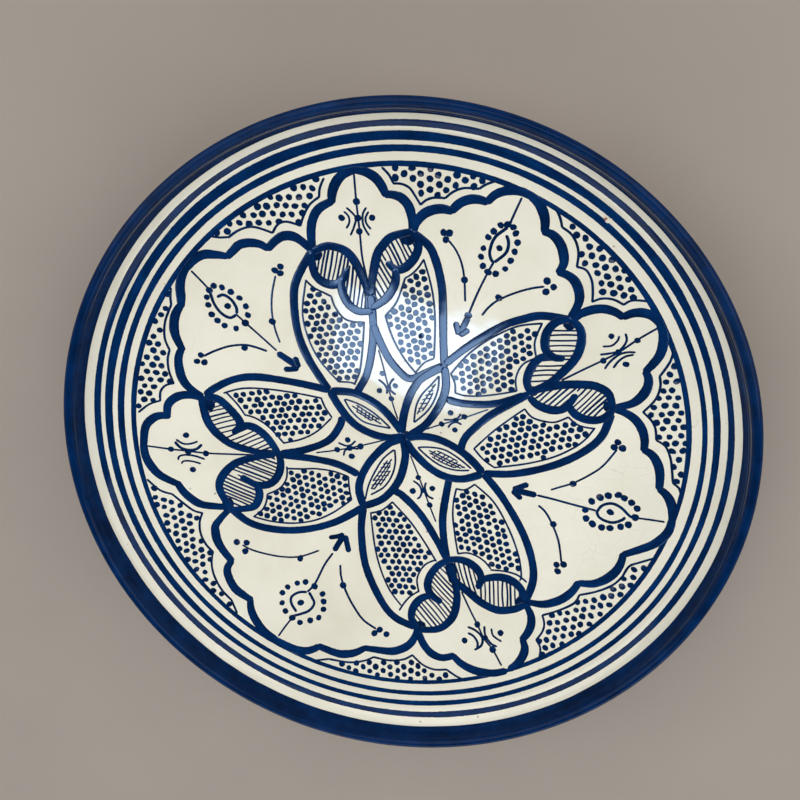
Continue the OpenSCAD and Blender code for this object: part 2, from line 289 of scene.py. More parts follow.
def shader(name, **constant):
    """A material with its Principled shader, and the tree that it stands in."""
    material = bpy.data.materials.new(name)
    material.use_nodes = True
    tree = material.node_tree
    surface = tree.nodes["Principled BSDF"]
    for label, value in constant.items():
        surface.inputs[label.replace("_", " ")].default_value = value
    return material, tree, surface


def ramp(tree, value, *stops):
    """A colour ramp through stops of (place, colour)."""
    made = add(tree, "ShaderNodeValToRGB", [("Fac", value)])
    scale = made.color_ramp
    while len(scale.elements) < len(stops):
        scale.elements.new(0.5)
    for element, (place, colour) in zip(scale.elements, stops):
        element.position = place
        element.color = (*colour, 1.0)
    return made.outputs["Color"]


def noise(tree, where, scale, detail=3.0, roughness=0.55):
    """Soft noise between 0 and 1."""
    return add(tree, "ShaderNodeTexNoise", [("Vector", where), ("Scale", scale),
               ("Detail", detail), ("Roughness", roughness)]).outputs["Fac"]


def bump(tree, surface, height, distance, strength=1.0):
    """Feeds a height to the shader's normal."""
    made = add(tree, "ShaderNodeBump", [("Height", height), ("Distance", distance),
                                       ("Strength", strength)])
    tree.links.new(made.outputs["Normal"], surface.inputs["Normal"])


def earthenware_group():
    """Fired red clay: clouds of tone, turning marks, grog grains and pale salt bloom."""
    tree, given, result = new_tree("fired clay", "ShaderNodeTree", [
        ("Tone", FLOAT), ("Dust", FLOAT)],
        [("Colour", COLOUR), ("Roughness", FLOAT), ("Height", FLOAT)])
    where = add(tree, "ShaderNodeTexCoord").outputs["Object"]
    x, y, z = parts_of(tree, where)
    radius = add(tree, "ShaderNodeVectorMath", [(0, point_of(tree, x, y))],
                 operation="LENGTH").outputs["Value"]
    wander = noise(tree, where, 9.0, 2.0)
    rings = noise(tree, point_of(tree, sum_of(
        tree, "ADD", radius, sum_of(tree, "MULTIPLY", wander, 0.004)), z), 700.0, 4.0, 0.7)
    clouds = noise(tree, where, 22.0, 5.0, 0.6)
    grains = add(tree, "ShaderNodeTexVoronoi", [("Vector", where), ("Scale", 620.0)],
                 feature="F1").outputs["Distance"]
    grain = stretched(tree, grains, 0.1, 0.32, 1.0, 0.0)
    tone = sum_of(tree, "MULTIPLY_ADD", rings, 0.35, sum_of(tree, "MULTIPLY_ADD", clouds, 0.65,
                  given["Tone"]))
    colour = ramp(tree, tone, (0.2, (0.22, 0.085, 0.042)), (0.5, (0.4, 0.165, 0.08)),
                  (0.8, (0.53, 0.255, 0.14)))
    bloom = stretched(tree, noise(tree, where, 34.0, 6.0, 0.7), 0.55, 0.8, 0.0, given["Dust"])
    colour = mixed(tree, bloom, colour, (0.62, 0.5, 0.4))
    speck = sum_of(tree, "MULTIPLY", grain, sum_of(tree, "GREATER_THAN", noise(
        tree, where, 260.0, 1.0), 0.56))
    colour = mixed(tree, sum_of(tree, "MULTIPLY", speck, 0.6), colour, (0.13, 0.06, 0.04))
    tree.links.new(colour, result["Colour"])
    tree.links.new(sum_of(tree, "MULTIPLY_ADD", clouds, 0.2, 0.68), result["Roughness"])
    tree.links.new(sum_of(tree, "MULTIPLY_ADD", rings, 0.7, sum_of(
        tree, "MULTIPLY_ADD", grain, 0.15, sum_of(tree, "MULTIPLY", noise(
            tree, where, 1400.0, 2.0), 0.3))), result["Height"])
    return tree


def clay_finish(name, tone, dust):
    """Bare fired clay of one tone."""
    material, tree, surface = shader(name, Specular_IOR_Level=0.3)
    clay = add(tree, "ShaderNodeGroup", [], node_tree=fired_clay)
    clay.inputs["Tone"].default_value = tone
    clay.inputs["Dust"].default_value = dust
    tree.links.new(clay.outputs["Colour"], surface.inputs["Base Color"])
    tree.links.new(clay.outputs["Roughness"], surface.inputs["Roughness"])
    bump(tree, surface, clay.outputs["Height"], 0.0004, 0.7)
    return material


fired_clay = earthenware_group()
bare_clay = clay_finish("bare_clay", 0.0, 0.45)

clay_section = (inside_wall(0.6, 1.8) + [(174.2, z) for z in (52.0, 49.5, 47.0)]
                + arc(HEEL, 10.0, 0, HEEL_END, 16)
                + arc(UNDER_MIDDLE, UNDER_R, HEEL_END, -90, 220)[1:])
under_from = len(clay_section) - 221
clay_ridge = [1.0 if i > under_from + 4 and i < len(clay_section) - 6 else 0.0
              for i in range(len(clay_section))]
clay_body = thrown("clay_body_thrown", clay_section, [(0.0, 0.0)] * len(clay_section),
                   clay_ridge, Turns=240, **{"Ridge Height": 0.00014, "Ridge Pitch": 0.0052,
                                             "Finish": bare_clay})
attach(clay_body, "root")
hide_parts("clay_body")


# ---------------------------------------------------------------- foot ring
# A ring of the same clay, turned with a loop tool and left unglazed. The face
# that it stands on is rubbed smooth and grey by tables.

standing_clay = clay_finish("standing_clay", -0.06, 0.7)
FOOT_IN, FOOT_OUT = 65.2, 70.8  # where the ring's flat standing face begins and ends
FOOT_EASE = 1.2                 # radius of its two rounded corners
foot_section = ([(FOOT_IN, 0.0), (FOOT_IN + 1.8, 0.0), (FOOT_OUT - 1.8, 0.0), (FOOT_OUT, 0.0)]
                + arc((FOOT_OUT, FOOT_EASE), FOOT_EASE, -80, 0, 5)
                + [(72.4, 4.5), (73.2, 9.0), (74.0, 13.5)]
                + [(62.0, 11.5), (63.1, 6.0), (63.7, 3.0)]
                + arc((FOOT_IN, FOOT_EASE), FOOT_EASE, -180, -100, 5) + [(FOOT_IN, 0.0)])
foot_ring = thrown("foot_ring_turned", foot_section,
                   [(0.5 if z > 0.4 else 0.0, 0.0) for r, z in foot_section],
                   [0.0] * len(foot_section), Turns=300, Unevenness=0.0008,
                   **{"Uneven Size": 2.5, "Finish": standing_clay})
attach(foot_ring, "root")
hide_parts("foot_ring")


# ---------------------------------------------------------------- glaze coat
# A cream tin glaze poured over the face and lip. It breaks off in an uneven
# run just under the lip outside, and has pinholes, specks and fine crazing.

def cream_glaze():
    """Glossy cream glaze with cloudy tone, iron specks, pinholes and hair cracks."""
    material, tree, surface = shader("cream_glaze", IOR=1.5)
    where = add(tree, "ShaderNodeTexCoord").outputs["Object"]
    clouds = noise(tree, where, 16.0, 5.0, 0.6)
    colour = ramp(tree, clouds, (0.25, (0.7, 0.68, 0.57)), (0.5, (0.79, 0.78, 0.675)),
                  (0.75, (0.85, 0.845, 0.745)))
    cells = add(tree, "ShaderNodeTexVoronoi", [("Vector", where), ("Scale", 150.0)])
    size = add(tree, "ShaderNodeSeparateColor", [(0, cells.outputs["Color"])]).outputs
    rare = sum_of(tree, "GREATER_THAN", size[0], 0.93)
    fleck = stretched(tree, cells.outputs["Distance"], 0.04, 0.13, 0.75, 0.0)
    fleck = sum_of(tree, "MULTIPLY", fleck, rare)
    colour = mixed(tree, fleck, colour, (0.16, 0.1, 0.06))
    bend = add(tree, "ShaderNodeTexNoise", [("Vector", where), ("Scale", 60.0)]).outputs["Color"]
    bent = vector_sum(tree, "ADD", where, scaled(tree, bend, 0.006))
    seams = add(tree, "ShaderNodeTexVoronoi", [("Vector", bent), ("Scale", 85.0)],
                feature="DISTANCE_TO_EDGE").outputs["Distance"]
    patch = stretched(tree, noise(tree, where, 13.0, 2.0), 0.55, 0.7, 0.0, 0.2)
    crack = sum_of(tree, "MULTIPLY", stretched(tree, seams, 0.0, 0.012, 1.0, 0.0), patch)
    colour = mixed(tree, crack, colour, (0.3, 0.24, 0.17))
    tree.links.new(colour, surface.inputs["Base Color"])
    tree.links.new(sum_of(tree, "MULTIPLY_ADD", clouds, 0.03, 0.025),
                   surface.inputs["Roughness"])
    swell = noise(tree, where, 26.0, 2.0)
    skin = noise(tree, where, 420.0, 2.0)
    height = sum_of(tree, "MULTIPLY_ADD", swell, 0.4, sum_of(
        tree, "MULTIPLY_ADD", skin, 0.006, sum_of(tree, "MULTIPLY", fleck, -0.06)))
    bump(tree, surface, height, 0.0007, 0.55)
    return material


white_glaze = cream_glaze()
glaze_section = (inside_wall(0.0, 2.4) + [(174.8, 52.0), (174.8, 50.0), (174.8, 48.4),
                                          (174.6, 47.9), (174.2, 47.9), (174.2, 50.0)]
                 + [(r, z) for r, z in reversed(inside_wall(0.6, 1.8))])
glaze_slip = [(0.0, 0.0)] * len(glaze_section)
run_at = len(inside_wall(0.0, 2.4))
for place, share in zip(range(run_at, run_at + 5), (0.1, 0.5, 1.0, 1.0, 1.0)):
    glaze_slip[place] = (0.0, share)
glaze_coat = thrown("glaze_coat_poured", glaze_section, glaze_slip,
                    [0.0] * len(glaze_section), Turns=340, Unevenness=0.005, Seed=3.0,
                    **{"Uneven Size": 6.0, "Finish": white_glaze})
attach(glaze_coat, "root")
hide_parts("glaze_coat")


# ---------------------------------------------------------------- rim band
# A broad cobalt band brushed over the lip while the plate spins. The brush
# leaves long streaks, and its two edges wander a little.

def cobalt_group():
    """Cobalt brushed on glaze: streaks along the stroke, and a darker pool at its edges."""
    tree, given, result = new_tree("cobalt wash", "ShaderNodeTree", [
        ("Thinness", FLOAT), ("Streak Scale", FLOAT), ("Streak Depth", FLOAT),
        ("Edge Pool", FLOAT)],
        [("Colour", COLOUR), ("Roughness", FLOAT), ("Height", FLOAT)])
    where = add(tree, "ShaderNodeTexCoord").outputs["Object"]
    stroke = add(tree, "ShaderNodeAttribute", attribute_name="brush").outputs["Vector"]
    across, along, turn = parts_of(tree, stroke)
    grain = point_of(tree, sum_of(tree, "MULTIPLY", across, given["Streak Scale"]),
                     sum_of(tree, "MULTIPLY", along, 42.0), sum_of(tree, "MULTIPLY", turn, 42.0))
    streak = noise(tree, grain, 1.0, 4.0, 0.6)
    clouds = noise(tree, where, 75.0, 4.0, 0.6)
    mottle = noise(tree, where, 650.0, 3.0, 0.6)
    rim = sum_of(tree, "POWER", sum_of(tree, "ABSOLUTE", across), 5.0)
    thin = sum_of(tree, "MULTIPLY_ADD", sum_of(tree, "SUBTRACT", streak, 0.5),
                  given["Streak Depth"], given["Thinness"])
    thin = sum_of(tree, "MULTIPLY_ADD", sum_of(tree, "SUBTRACT", clouds, 0.5), 0.9, thin)
    thin = sum_of(tree, "MULTIPLY_ADD", sum_of(tree, "SUBTRACT", mottle, 0.5), 0.22, thin)
    thin = sum_of(tree, "SUBTRACT", thin, sum_of(tree, "MULTIPLY", rim, given["Edge Pool"]))
    colour = ramp(tree, thin, (0.0, (0.0008, 0.0095, 0.042)), (0.35, (0.0012, 0.0205, 0.092)),
                  (0.65, (0.0024, 0.035, 0.145)), (1.0, (0.01, 0.085, 0.27)))
    tree.links.new(colour, result["Colour"])
    tree.links.new(sum_of(tree, "MULTIPLY_ADD", clouds, 0.04, 0.03), result["Roughness"])
    swell = sum_of(tree, "MULTIPLY", noise(tree, where, 26.0, 2.0), 1.2)
    grit = sum_of(tree, "MULTIPLY_ADD", mottle, 0.03, swell)
    tree.links.new(sum_of(tree, "MULTIPLY_ADD", streak, 0.12, grit), result["Height"])
    return tree


def cobalt_finish(name, thinness, streak_scale, streak_depth, edge_pool, gloss=0.4):
    """One load of the cobalt brush."""
    material, tree, surface = shader(name, IOR=1.5, Specular_IOR_Level=gloss)
    wash = add(tree, "ShaderNodeGroup", [], node_tree=cobalt_wash)
    for label, value in (("Thinness", thinness), ("Streak Scale", streak_scale),
                         ("Streak Depth", streak_depth), ("Edge Pool", edge_pool)):
        wash.inputs[label].default_value = value
    tree.links.new(wash.outputs["Colour"], surface.inputs["Base Color"])
    tree.links.new(wash.outputs["Roughness"], surface.inputs["Roughness"])
    bump(tree, surface, wash.outputs["Height"], 0.0002, 0.5)
    return material


cobalt_wash = cobalt_group()
rim_cobalt = cobalt_finish("rim_cobalt", 0.2, 14.0, 0.45, 0.0, gloss=0.08)

BAND_EDGE = -30.0                # where the band ends in the bend, in degrees
band_outside = (arc(BEND, BEND_R - 0.2, BAND_EDGE, 0, 16) + arc(LIP, 2.6, 180, 0, 28)
                + [(175.0, 52.4), (175.0, 50.6), (174.95, 49.9)])
band_inside = ([(174.7, 49.9), (174.75, 52.4)] + arc(LIP, 2.3, 0, 180, 20)
               + arc(BEND, BEND_R + 0.1, 0, BAND_EDGE, 16))
band_section = band_outside + band_inside
band_section.append(band_section[0])
inner_edge = (-math.sin(math.radians(BAND_EDGE)), math.cos(math.radians(BAND_EDGE)))
band_slip = [(0.0, 0.0)] * len(band_section)
for place, share in ((0, 1.0), (1, 0.8), (2, 0.5), (len(band_section) - 4, 0.5),
                     (len(band_section) - 3, 0.8), (len(band_section) - 2, 1.0),
                     (len(band_section) - 1, 1.0)):
    band_slip[place] = (inner_edge[0] * share * 0.6, inner_edge[1] * share * 0.6)
for place in range(len(band_outside) - 2, len(band_outside) + 1):
    band_slip[place] = (0.0, 1.4)
rim_band = thrown("rim_band_brushed", band_section, band_slip, [0.0] * len(band_section),
                  Turns=480, Unevenness=0.0022, Seed=8.0,
                  **{"Uneven Size": 5.0, "Finish": rim_cobalt})
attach(rim_band, "root")
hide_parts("rim_band")


# ---------------------------------------------------------------- four ring lines
# Three lines and a thin field ring, drawn with a steady brush while the wheel
# turns. They swell, thin out and drift a little from true circles.

def brush_tree():
    """Draws brush strokes on the dish along chains of edges.

    Each stroke is a smooth line with rounded ends, whose width swells and whose
    edges fray a little; it lies on the glaze as a thin raised film of paint.
    """
    tree, given, result = new_tree("brush strokes", "GeometryNodeTree", [
        ("Paths", GEOMETRY), ("Dish", OBJECT), ("Step", FLOAT), ("Film", FLOAT),
        ("Layer", FLOAT), ("Swell", FLOAT), ("Swell Size", FLOAT), ("Fray", FLOAT),
        ("Round End", FLOAT), ("Seed", FLOAT), ("Paint", MATERIAL)], [("Strokes", GEOMETRY)])
    place = add(tree, "GeometryNodeInputPosition").outputs[0]
    line = add(tree, "GeometryNodeMeshToCurve", [("Mesh", given["Paths"])]).outputs[0]
    line = add(tree, "GeometryNodeCurveSplineType", [("Curve", line)],
               spline_type="CATMULL_ROM").outputs[0]
    line = add(tree, "GeometryNodeResampleCurve", [("Curve", line), ("Length", given["Step"])],
               mode="LENGTH").outputs[0]
    line = add(tree, "GeometryNodeSetCurveNormal", [("Curve", line)], mode="Z_UP").outputs[0]
    swell = add(tree, "ShaderNodeTexNoise", [("Vector", place), ("W", given["Seed"]),
                ("Scale", given["Swell Size"]), ("Detail", 3.0)],
                noise_dimensions="4D").outputs[0]
    swell = sum_of(tree, "MULTIPLY_ADD", sum_of(tree, "SUBTRACT", swell, 0.5),
                   given["Swell"], 1.0)
    width = sum_of(tree, "MULTIPLY", read(tree, "half_width"), swell)
    run = add(tree, "GeometryNodeSplineParameter").outputs["Length"]
    whole = add(tree, "GeometryNodeSplineLength").outputs["Length"]
    to_end = sum_of(tree, "MINIMUM", run, sum_of(tree, "SUBTRACT", whole, run))
    short = sum_of(tree, "SUBTRACT", 1.0, sum_of(tree, "MINIMUM", sum_of(
        tree, "DIVIDE", to_end, sum_of(tree, "MULTIPLY", width, given["Round End"])), 1.0))
    taper = sum_of(tree, "SQRT", sum_of(tree, "SUBTRACT", 1.0, sum_of(
        tree, "MULTIPLY", short, short)))
    closed = add(tree, "GeometryNodeInputSplineCyclic").outputs[0]
    taper = sum_of(tree, "MAXIMUM", sum_of(tree, "MAXIMUM", taper, closed), 0.08)
    width = sum_of(tree, "MULTIPLY", width, taper)
    number = add(tree, "GeometryNodeFieldOnDomain", [
        ("Value", add(tree, "GeometryNodeInputIndex").outputs[0])],
        domain="CURVE", data_type="FLOAT").outputs[0]
    line = stored(tree, line, "run", run)
    line = stored(tree, line, "number", number)
    bead = add(tree, "GeometryNodeCurvePrimitiveCircle",
               [("Resolution", 12), ("Radius", 1.0)]).outputs["Curve"]
    reach, rise, _ = parts_of(tree, place)
    flat = sum_of(tree, "MULTIPLY", sum_of(tree, "SIGN", reach), sum_of(
        tree, "POWER", sum_of(tree, "ABSOLUTE", reach), 0.35))
    bead = add(tree, "GeometryNodeSetPosition", [
        ("Geometry", bead), ("Position", point_of(tree, flat, rise))]).outputs[0]
    bead = stored(tree, bead, "side", reach)
    bead = stored(tree, bead, "rise", rise)
    film = add(tree, "GeometryNodeCurveToMesh", [
        ("Curve", line), ("Profile Curve", bead), ("Scale", width),
        ("Fill Caps", True)]).outputs[0]
    fray = add(tree, "ShaderNodeTexNoise", [
        ("Vector", point_of(tree, reach, rise)), ("Scale", 900.0), ("Detail", 2.0)]).outputs[
            "Color"]
    fray = vector_sum(tree, "SUBTRACT", fray, (0.5, 0.5, 0.5))
    edge = sum_of(tree, "MULTIPLY", sum_of(tree, "ABSOLUTE", read(tree, "side")), given["Fray"])
    x, y, _ = parts_of(tree, vector_sum(tree, "ADD", place, scaled(tree, fray, edge)))
    ground = dish_height(tree, given["Dish"], x, y)
    crown = add(tree, "ShaderNodeClamp", [
        ("Value", sum_of(tree, "MULTIPLY", read(tree, "rise"), 1.7)), ("Min", -1.0)]).outputs[0]
    coats, coat = 7.0, 0.000006     # crossing strokes lie at one of seven heights
    level = sum_of(tree, "MULTIPLY_ADD", sum_of(tree, "MODULO", read(tree, "number"), coats),
                   coat, given["Layer"])
    lift = sum_of(tree, "MULTIPLY_ADD", crown, given["Film"], level)
    film = add(tree, "GeometryNodeSetPosition", [
        ("Geometry", film),
        ("Position", point_of(tree, x, y, sum_of(tree, "ADD", ground, lift)))]).outputs[0]
    film = stored(tree, film, "brush", point_of(
        tree, read(tree, "side"), read(tree, "run"),
        sum_of(tree, "MULTIPLY", read(tree, "number"), 0.37)), "FLOAT_VECTOR")
    tree.links.new(painted(tree, film, given["Paint"]), result["Strokes"])
    return tree


def brushed(name, strokes, paint, closed=False, overrun=0.0, **values):
    """Strokes of (width, points) in millimetres, painted on the dish as one piece.

    The brush is set down and lifted a little beyond the ends of each path.
    """
    points, edges, half_widths = [], [], []
    for width, path in strokes:
        first = len(points)
        for end, inner in ((path[0], path[1]), (path[-1], path[-2])):
            share = overrun / math.dist(end, inner)
            beyond = (end[0] + (end[0] - inner[0]) * share, end[1] + (end[1] - inner[1]) * share)
            path = [beyond if point is end else point for point in path]
        points += [(x, y, 0.0) for x, y in path]
        widths = width if isinstance(width, list) else [width] * len(path)
        half_widths += [size * MM / 2 for size in widths]
        edges += [(i, i + 1) for i in range(first, len(points) - 1)]
        if closed:
            edges.append((len(points) - 1, first))
    piece = flat_piece(name, points, edges, half_width=half_widths)
    settings = {"Dish": glaze_coat, "Step": 0.0008, "Film": 0.00005, "Layer": 0.00003,
                "Swell": 0.35, "Swell Size": 70.0, "Fray": 0.00035, "Round End": 1.0,
                "Seed": 0.0, "Paint": paint}
    settings.update(values)
    return grown(piece, (brush_strokes, settings))


def on_dish(piece, slot, *nodes):
    """Attaches a painted piece to the root body and hides the imported nodes it stands for. The
    slot argument is not used.
    """
    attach(piece, "root")
    if nodes:
        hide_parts(*nodes)


def wheel_line(radius, width, drift, toward, load, heavy):
    """A ring that drifts off centre one way, drawn with more paint on one side."""
    ring, widths = [], []
    for step in range(0, 360, 6):
        a = math.radians(step)
        r = radius + drift * math.cos(a - math.radians(toward))
        ring.append((r * math.cos(a), r * math.sin(a)))
        widths.append(width * (1 + load * math.cos(a - math.radians(heavy))))
    return [(widths, ring)]


brush_strokes = brush_tree()
line_cobalt = cobalt_finish("line_cobalt", 0.36, 1.3, 0.7, 0.12, gloss=0.1)
for label, node_name, ring, seed in (
        ("outer_line_brushed", "outer_line", wheel_line(163.6, 2.7, 0.3, 20, 0.1, 110), 1.0),
        ("middle_line_brushed", "middle_line", wheel_line(158.0, 3.4, 0.3, 120, 0.28, 110), 2.0),
        ("inner_line_brushed", "inner_line", wheel_line(152.4, 2.9, 0.3, 60, 0.12, 110), 3.0),
        ("field_ring_brushed", "field_ring", wheel_line(145.8, 2.5, 0.3, 200, 0.1, 110), 4.0)):
    line = brushed(label, ring, line_cobalt, closed=True, Seed=seed, Step=0.0012,
                   **{"Swell Size": 18.0, "Swell": 0.75})
    on_dish(line, "line_cobalt", node_name)


# ---------------------------------------------------------------- centre leaves
# Four pointed leaves that cross at the middle, each painted with two strokes
# of the broad brush pulled outward from the centre.

leaf_strokes = [
    [(-2, 1), (-1.2, 10), (0.8, 19), (3.8, 27), (8, 33.5), (14, 38), (20.5, 42)],
    [(0, -1), (9.5, 6), (14.5, 12), (18.5, 19), (21.2, 26), (22, 33), (21, 42)],
    [(-1.5, 2), (-6, 8.5), (-11, 14.5), (-17, 19.5), (-24, 23.3), (-31, 25.3), (-41, 25.5)],
    [(-1, 0), (-8, -1), (-15, -0.2), (-21, 2), (-27, 5.5), (-32, 10.5), (-37, 18), (-41, 26)],
    [(0, -1), (6, 0.5), (13, 0.6), (20, -1), (27, -4.2), (33, -8), (38.5, -13), (43.5, -18.5)],
    [(0, -2), (3.5, -7.5), (8, -12.5), (13.5, -17.5), (20, -21.3), (27, -23), (34, -22.5),
     (43, -19)],
    [(-2, -1.5), (-9, -4.5), (-15, -10), (-20.5, -17), (-24.5, -25), (-26, -33), (-23.5, -43)],
    [(-1, -2), (0.2, -10), (-0.8, -18), (-3.2, -26), (-8, -33.5), (-14, -39), (-23.5, -43)],
]
brush_cobalt = cobalt_finish("brush_cobalt", 0.3, 1.1, 0.75, 0.18)
center_leaves = brushed("center_leaves_brushed", [(4.5, path) for path in leaf_strokes],
                        brush_cobalt, Seed=11.0, Layer=0.0001)
on_dish(center_leaves, "brush_cobalt", "center_leaves")


# ---------------------------------------------------------------- petals
# Eight long petals in four pairs round the leaves, outlined with the broad
# brush in two strokes each.

petal_strokes = [
    [(-41, 26), (-44.5, 31), (-52, 45), (-56.3, 60), (-56.8, 78), (-54, 89), (-45.5, 103)],
    [(-27, 24), (-24.5, 28), (-20.5, 36), (-17.6, 49), (-16.3, 62), (-17, 80)],
    [(-16.2, 64), (-14, 57), (-8.5, 45), (-1, 36), (3, 34.2), (7, 35.5), (12, 38.3), (21, 42.5)],
    [(21, 42.5), (20.3, 58), (19.8, 80), (18.6, 90), (16.3, 99), (12.8, 106.5), (5, 113)],
    [(21, 43), (34, 54.5), (50, 65.8), (60, 70.2), (70, 72.8), (84, 71.5)],
    [(22, 23.5), (30, 21.6), (40, 21.5), (48, 22.6), (56, 25.3), (64, 29)],
    [(30.6, -6.2), (31.3, -3), (32.5, 0.5), (35.5, 5), (45, 14.8), (56, 22.8), (66, 30)],
    [(43.5, -18.5), (60, -17), (79, -10.4), (94, -1), (103.7, 10), (107.5, 24)],
    [(43.5, -18.5), (54, -30.8), (65.5, -49), (72, -65), (73.6, -78), (70, -91)],
    [(25, -22), (22.4, -40), (21.8, -50), (23.2, -63), (25, -72)],
    [(-7, -32.5), (-1, -35.6), (9.5, -46.5), (18.5, -60.5), (25, -72)],
    [(-23.5, -43), (-24.7, -58), (-22, -79), (-13.3, -98.4), (-4.5, -108.8), (8, -114)],
    [(-23.5, -43.5), (-40, -53.3), (-58, -58.1), (-75, -57.8), (-89, -53.2), (-100, -43)],
    [(-26, -24), (-38, -18), (-52, -14.9), (-70, -12.5)],
    [(-35, 11), (-36, 5.5), (-43, -4), (-57, -9.8), (-70, -12)],
    [(-41, 26), (-60, 30.4), (-80, 33.6), (-92, 32.3), (-102.5, 27.5), (-108, 23)],
]
petals = brushed("petals_brushed", [(4.3, path) for path in petal_strokes], brush_cobalt,
                 Seed=12.0, Layer=0.00006)
on_dish(petals, "brush_cobalt", "petals")


# ---------------------------------------------------------------- lobed leaves
# A two-lobed leaf fills the outer end of every petal, in short round strokes.

def bellied(width, path):
    """Widths along a stroke that is thin where the brush lands and lifts."""
    last = len(path) - 1
    return [width * (0.86 + 0.28 * math.sin(math.pi * i / last)) for i in range(last + 1)]


lobe_strokes = [
    [(-45, 102.5), (-38, 105.4), (-30, 103.7), (-25, 98.7), (-21, 90), (-18, 80)],
    [(-45.5, 102), (-46, 96), (-44.5, 90), (-40.5, 86.3), (-35, 85.4), (-31, 88.5), (-28.5, 93.5)],
    [(-31, 88.5), (-32, 85), (-31, 79.5), (-28, 74), (-23, 71), (-16.5, 71.5)],
    [(-17, 80), (-16.2, 87), (-13.2, 100.5), (-10, 106), (-5, 110.7), (5, 113.5)],
    [(5, 113), (7.5, 108.5), (7.3, 103.5), (4.7, 98.7), (0.5, 94.7), (-4, 94), (-8, 97.5)],
    [(-4, 94), (-4, 88.5), (-6, 83), (-10, 77.7), (-16.5, 73)],
    [(83, 72), (77, 70), (73, 65), (72, 59), (73.2, 54), (77, 51), (82, 51)],
    [(76, 51.5), (71, 50.5), (67.5, 47), (65, 41.5), (64.3, 36), (66, 31)],
    [(84.5, 71.5), (88.4, 67.5), (89.7, 61), (88, 52.5), (83, 44.8), (76, 37), (67, 31.5)],
    [(66, 30.5), (72, 33.3), (83, 36.5), (94, 37.7), (100, 37), (105.5, 33.5), (108, 25)],
    [(66, 28), (69.5, 24.6), (74.5, 22.4), (80, 21.9), (85, 24.3), (89.3, 31.5)],
    [(86, 26), (88, 22.5), (91.5, 19.8), (97, 18.5), (103, 19.8), (108, 25)],
    [(25, -72), (32, -71.2), (38, -72.7), (43, -76.7), (44.7, -81.5), (43, -87)],
    [(44.5, -82.5), (48, -80.4), (56, -78.8), (63, -80.5), (67.5, -84.5), (69.5, -90)],
    [(28, -80), (31, -85), (38, -90), (46, -95.5), (55, -98.2), (64, -96.3), (70, -92.5)],
    [(25, -72.5), (19.5, -76.5), (15.5, -82.5), (14.3, -89), (17, -94.3), (22.5, -97.5)],
    [(16.5, -94), (11.5, -96), (7.8, -99.7), (5.6, -104.5), (5.7, -109.5), (9, -114.5)],
    [(27, -76), (31, -90), (31.3, -97), (30, -104), (26.5, -109.5), (20.5, -113.8), (11, -115)],
    [(-73, -12), (-89, -15.2), (-97, -19), (-103, -26), (-104, -33.5), (-98.5, -45)],
    [(-71, -12), (-69.8, -17.5), (-71.5, -25), (-76.5, -30.2), (-84, -30.5), (-92, -25.5)],
    [(-84, -30.5), (-82.4, -35), (-83.2, -40), (-86.8, -44.3), (-98, -45.5)],
    [(-110, 22), (-109.3, 14.5), (-107, 6), (-101.5, -1.5), (-93.5, -7.3), (-76, -12.5)],
    [(-108, 22.5), (-102.5, 21.8), (-98, 18), (-91.7, 9.3), (-91, 4.5), (-95, 1)],
    [(-91.5, 4.3), (-87, 5), (-82, 3), (-76, -3), (-70.5, -12.5)],
]
lobed_leaves = brushed("lobed_leaves_brushed", [
    (bellied(4.1, path), path) for path in lobe_strokes], brush_cobalt, overrun=0.6, Seed=13.0,
    Layer=0.00009)
on_dish(lobed_leaves, "brush_cobalt", "lobed_leaves")


# ---------------------------------------------------------------- cartouches
# Scalloped outlines between the petals and the field ring: four small ones
# over the petal pairs and four large ones between them.

small_cartouche_strokes = [
    [(-45, 104), (-45.2, 111), (-43.8, 118.5), (-40, 124.3), (-33.5, 127.7)],
    [(-33.7, 127), (-33.2, 131.5), (-31, 136.5), (-27, 140.6), (-21, 142.8)],
    [(-22, 142.7), (-16, 141.5), (-11.5, 138.5), (-8.8, 134.5), (-7.3, 130.7)],
    [(-7.8, 131.2), (-3.5, 131), (0.5, 129.3), (3.5, 125.5), (4.9, 119.5), (4.8, 113)],
    [(84.5, 71.5), (88, 75), (93, 77.5), (98.5, 78.5), (104, 77.3), (108, 74.8)],
    [(107.8, 75), (112, 77.4), (117, 78), (121.5, 76.5), (125.5, 72.5)],
    [(124.5, 73.5), (126.6, 69), (127.3, 63), (126, 56), (121, 47.8)],
    [(121, 48.2), (123, 44), (122.6, 38.5), (120, 33.5), (116, 29.8), (109, 27)],
    [(9.5, -114), (10.8, -119), (13.5, -124), (18, -128.3), (24.5, -130), (31, -127.8)],
    [(30.5, -128), (34.5, -131.5), (40, -134), (46, -135.2), (54, -134.8), (61, -132.4)],
    [(63, -131), (67, -127.5), (70, -122.5), (71, -117.5), (69.3, -113)],
    [(69, -113.5), (72, -109), (73.8, -103.5), (73.3, -98), (70.5, -93)],
    [(-109.5, 21.5), (-114, 23.6), (-119.5, 24), (-124.5, 22), (-127.8, 18), (-128.6, 11.5)],
    [(-127.5, 12), (-132.5, 12.6), (-137, 10.5), (-140.6, 5.5), (-142.5, -6)],
    [(-142.3, -3), (-142, -10), (-139.5, -17), (-135, -23), (-126.5, -28.5)],
    [(-126.8, -27.5), (-124, -33), (-119, -38.5), (-113, -42), (-99, -44)],
]
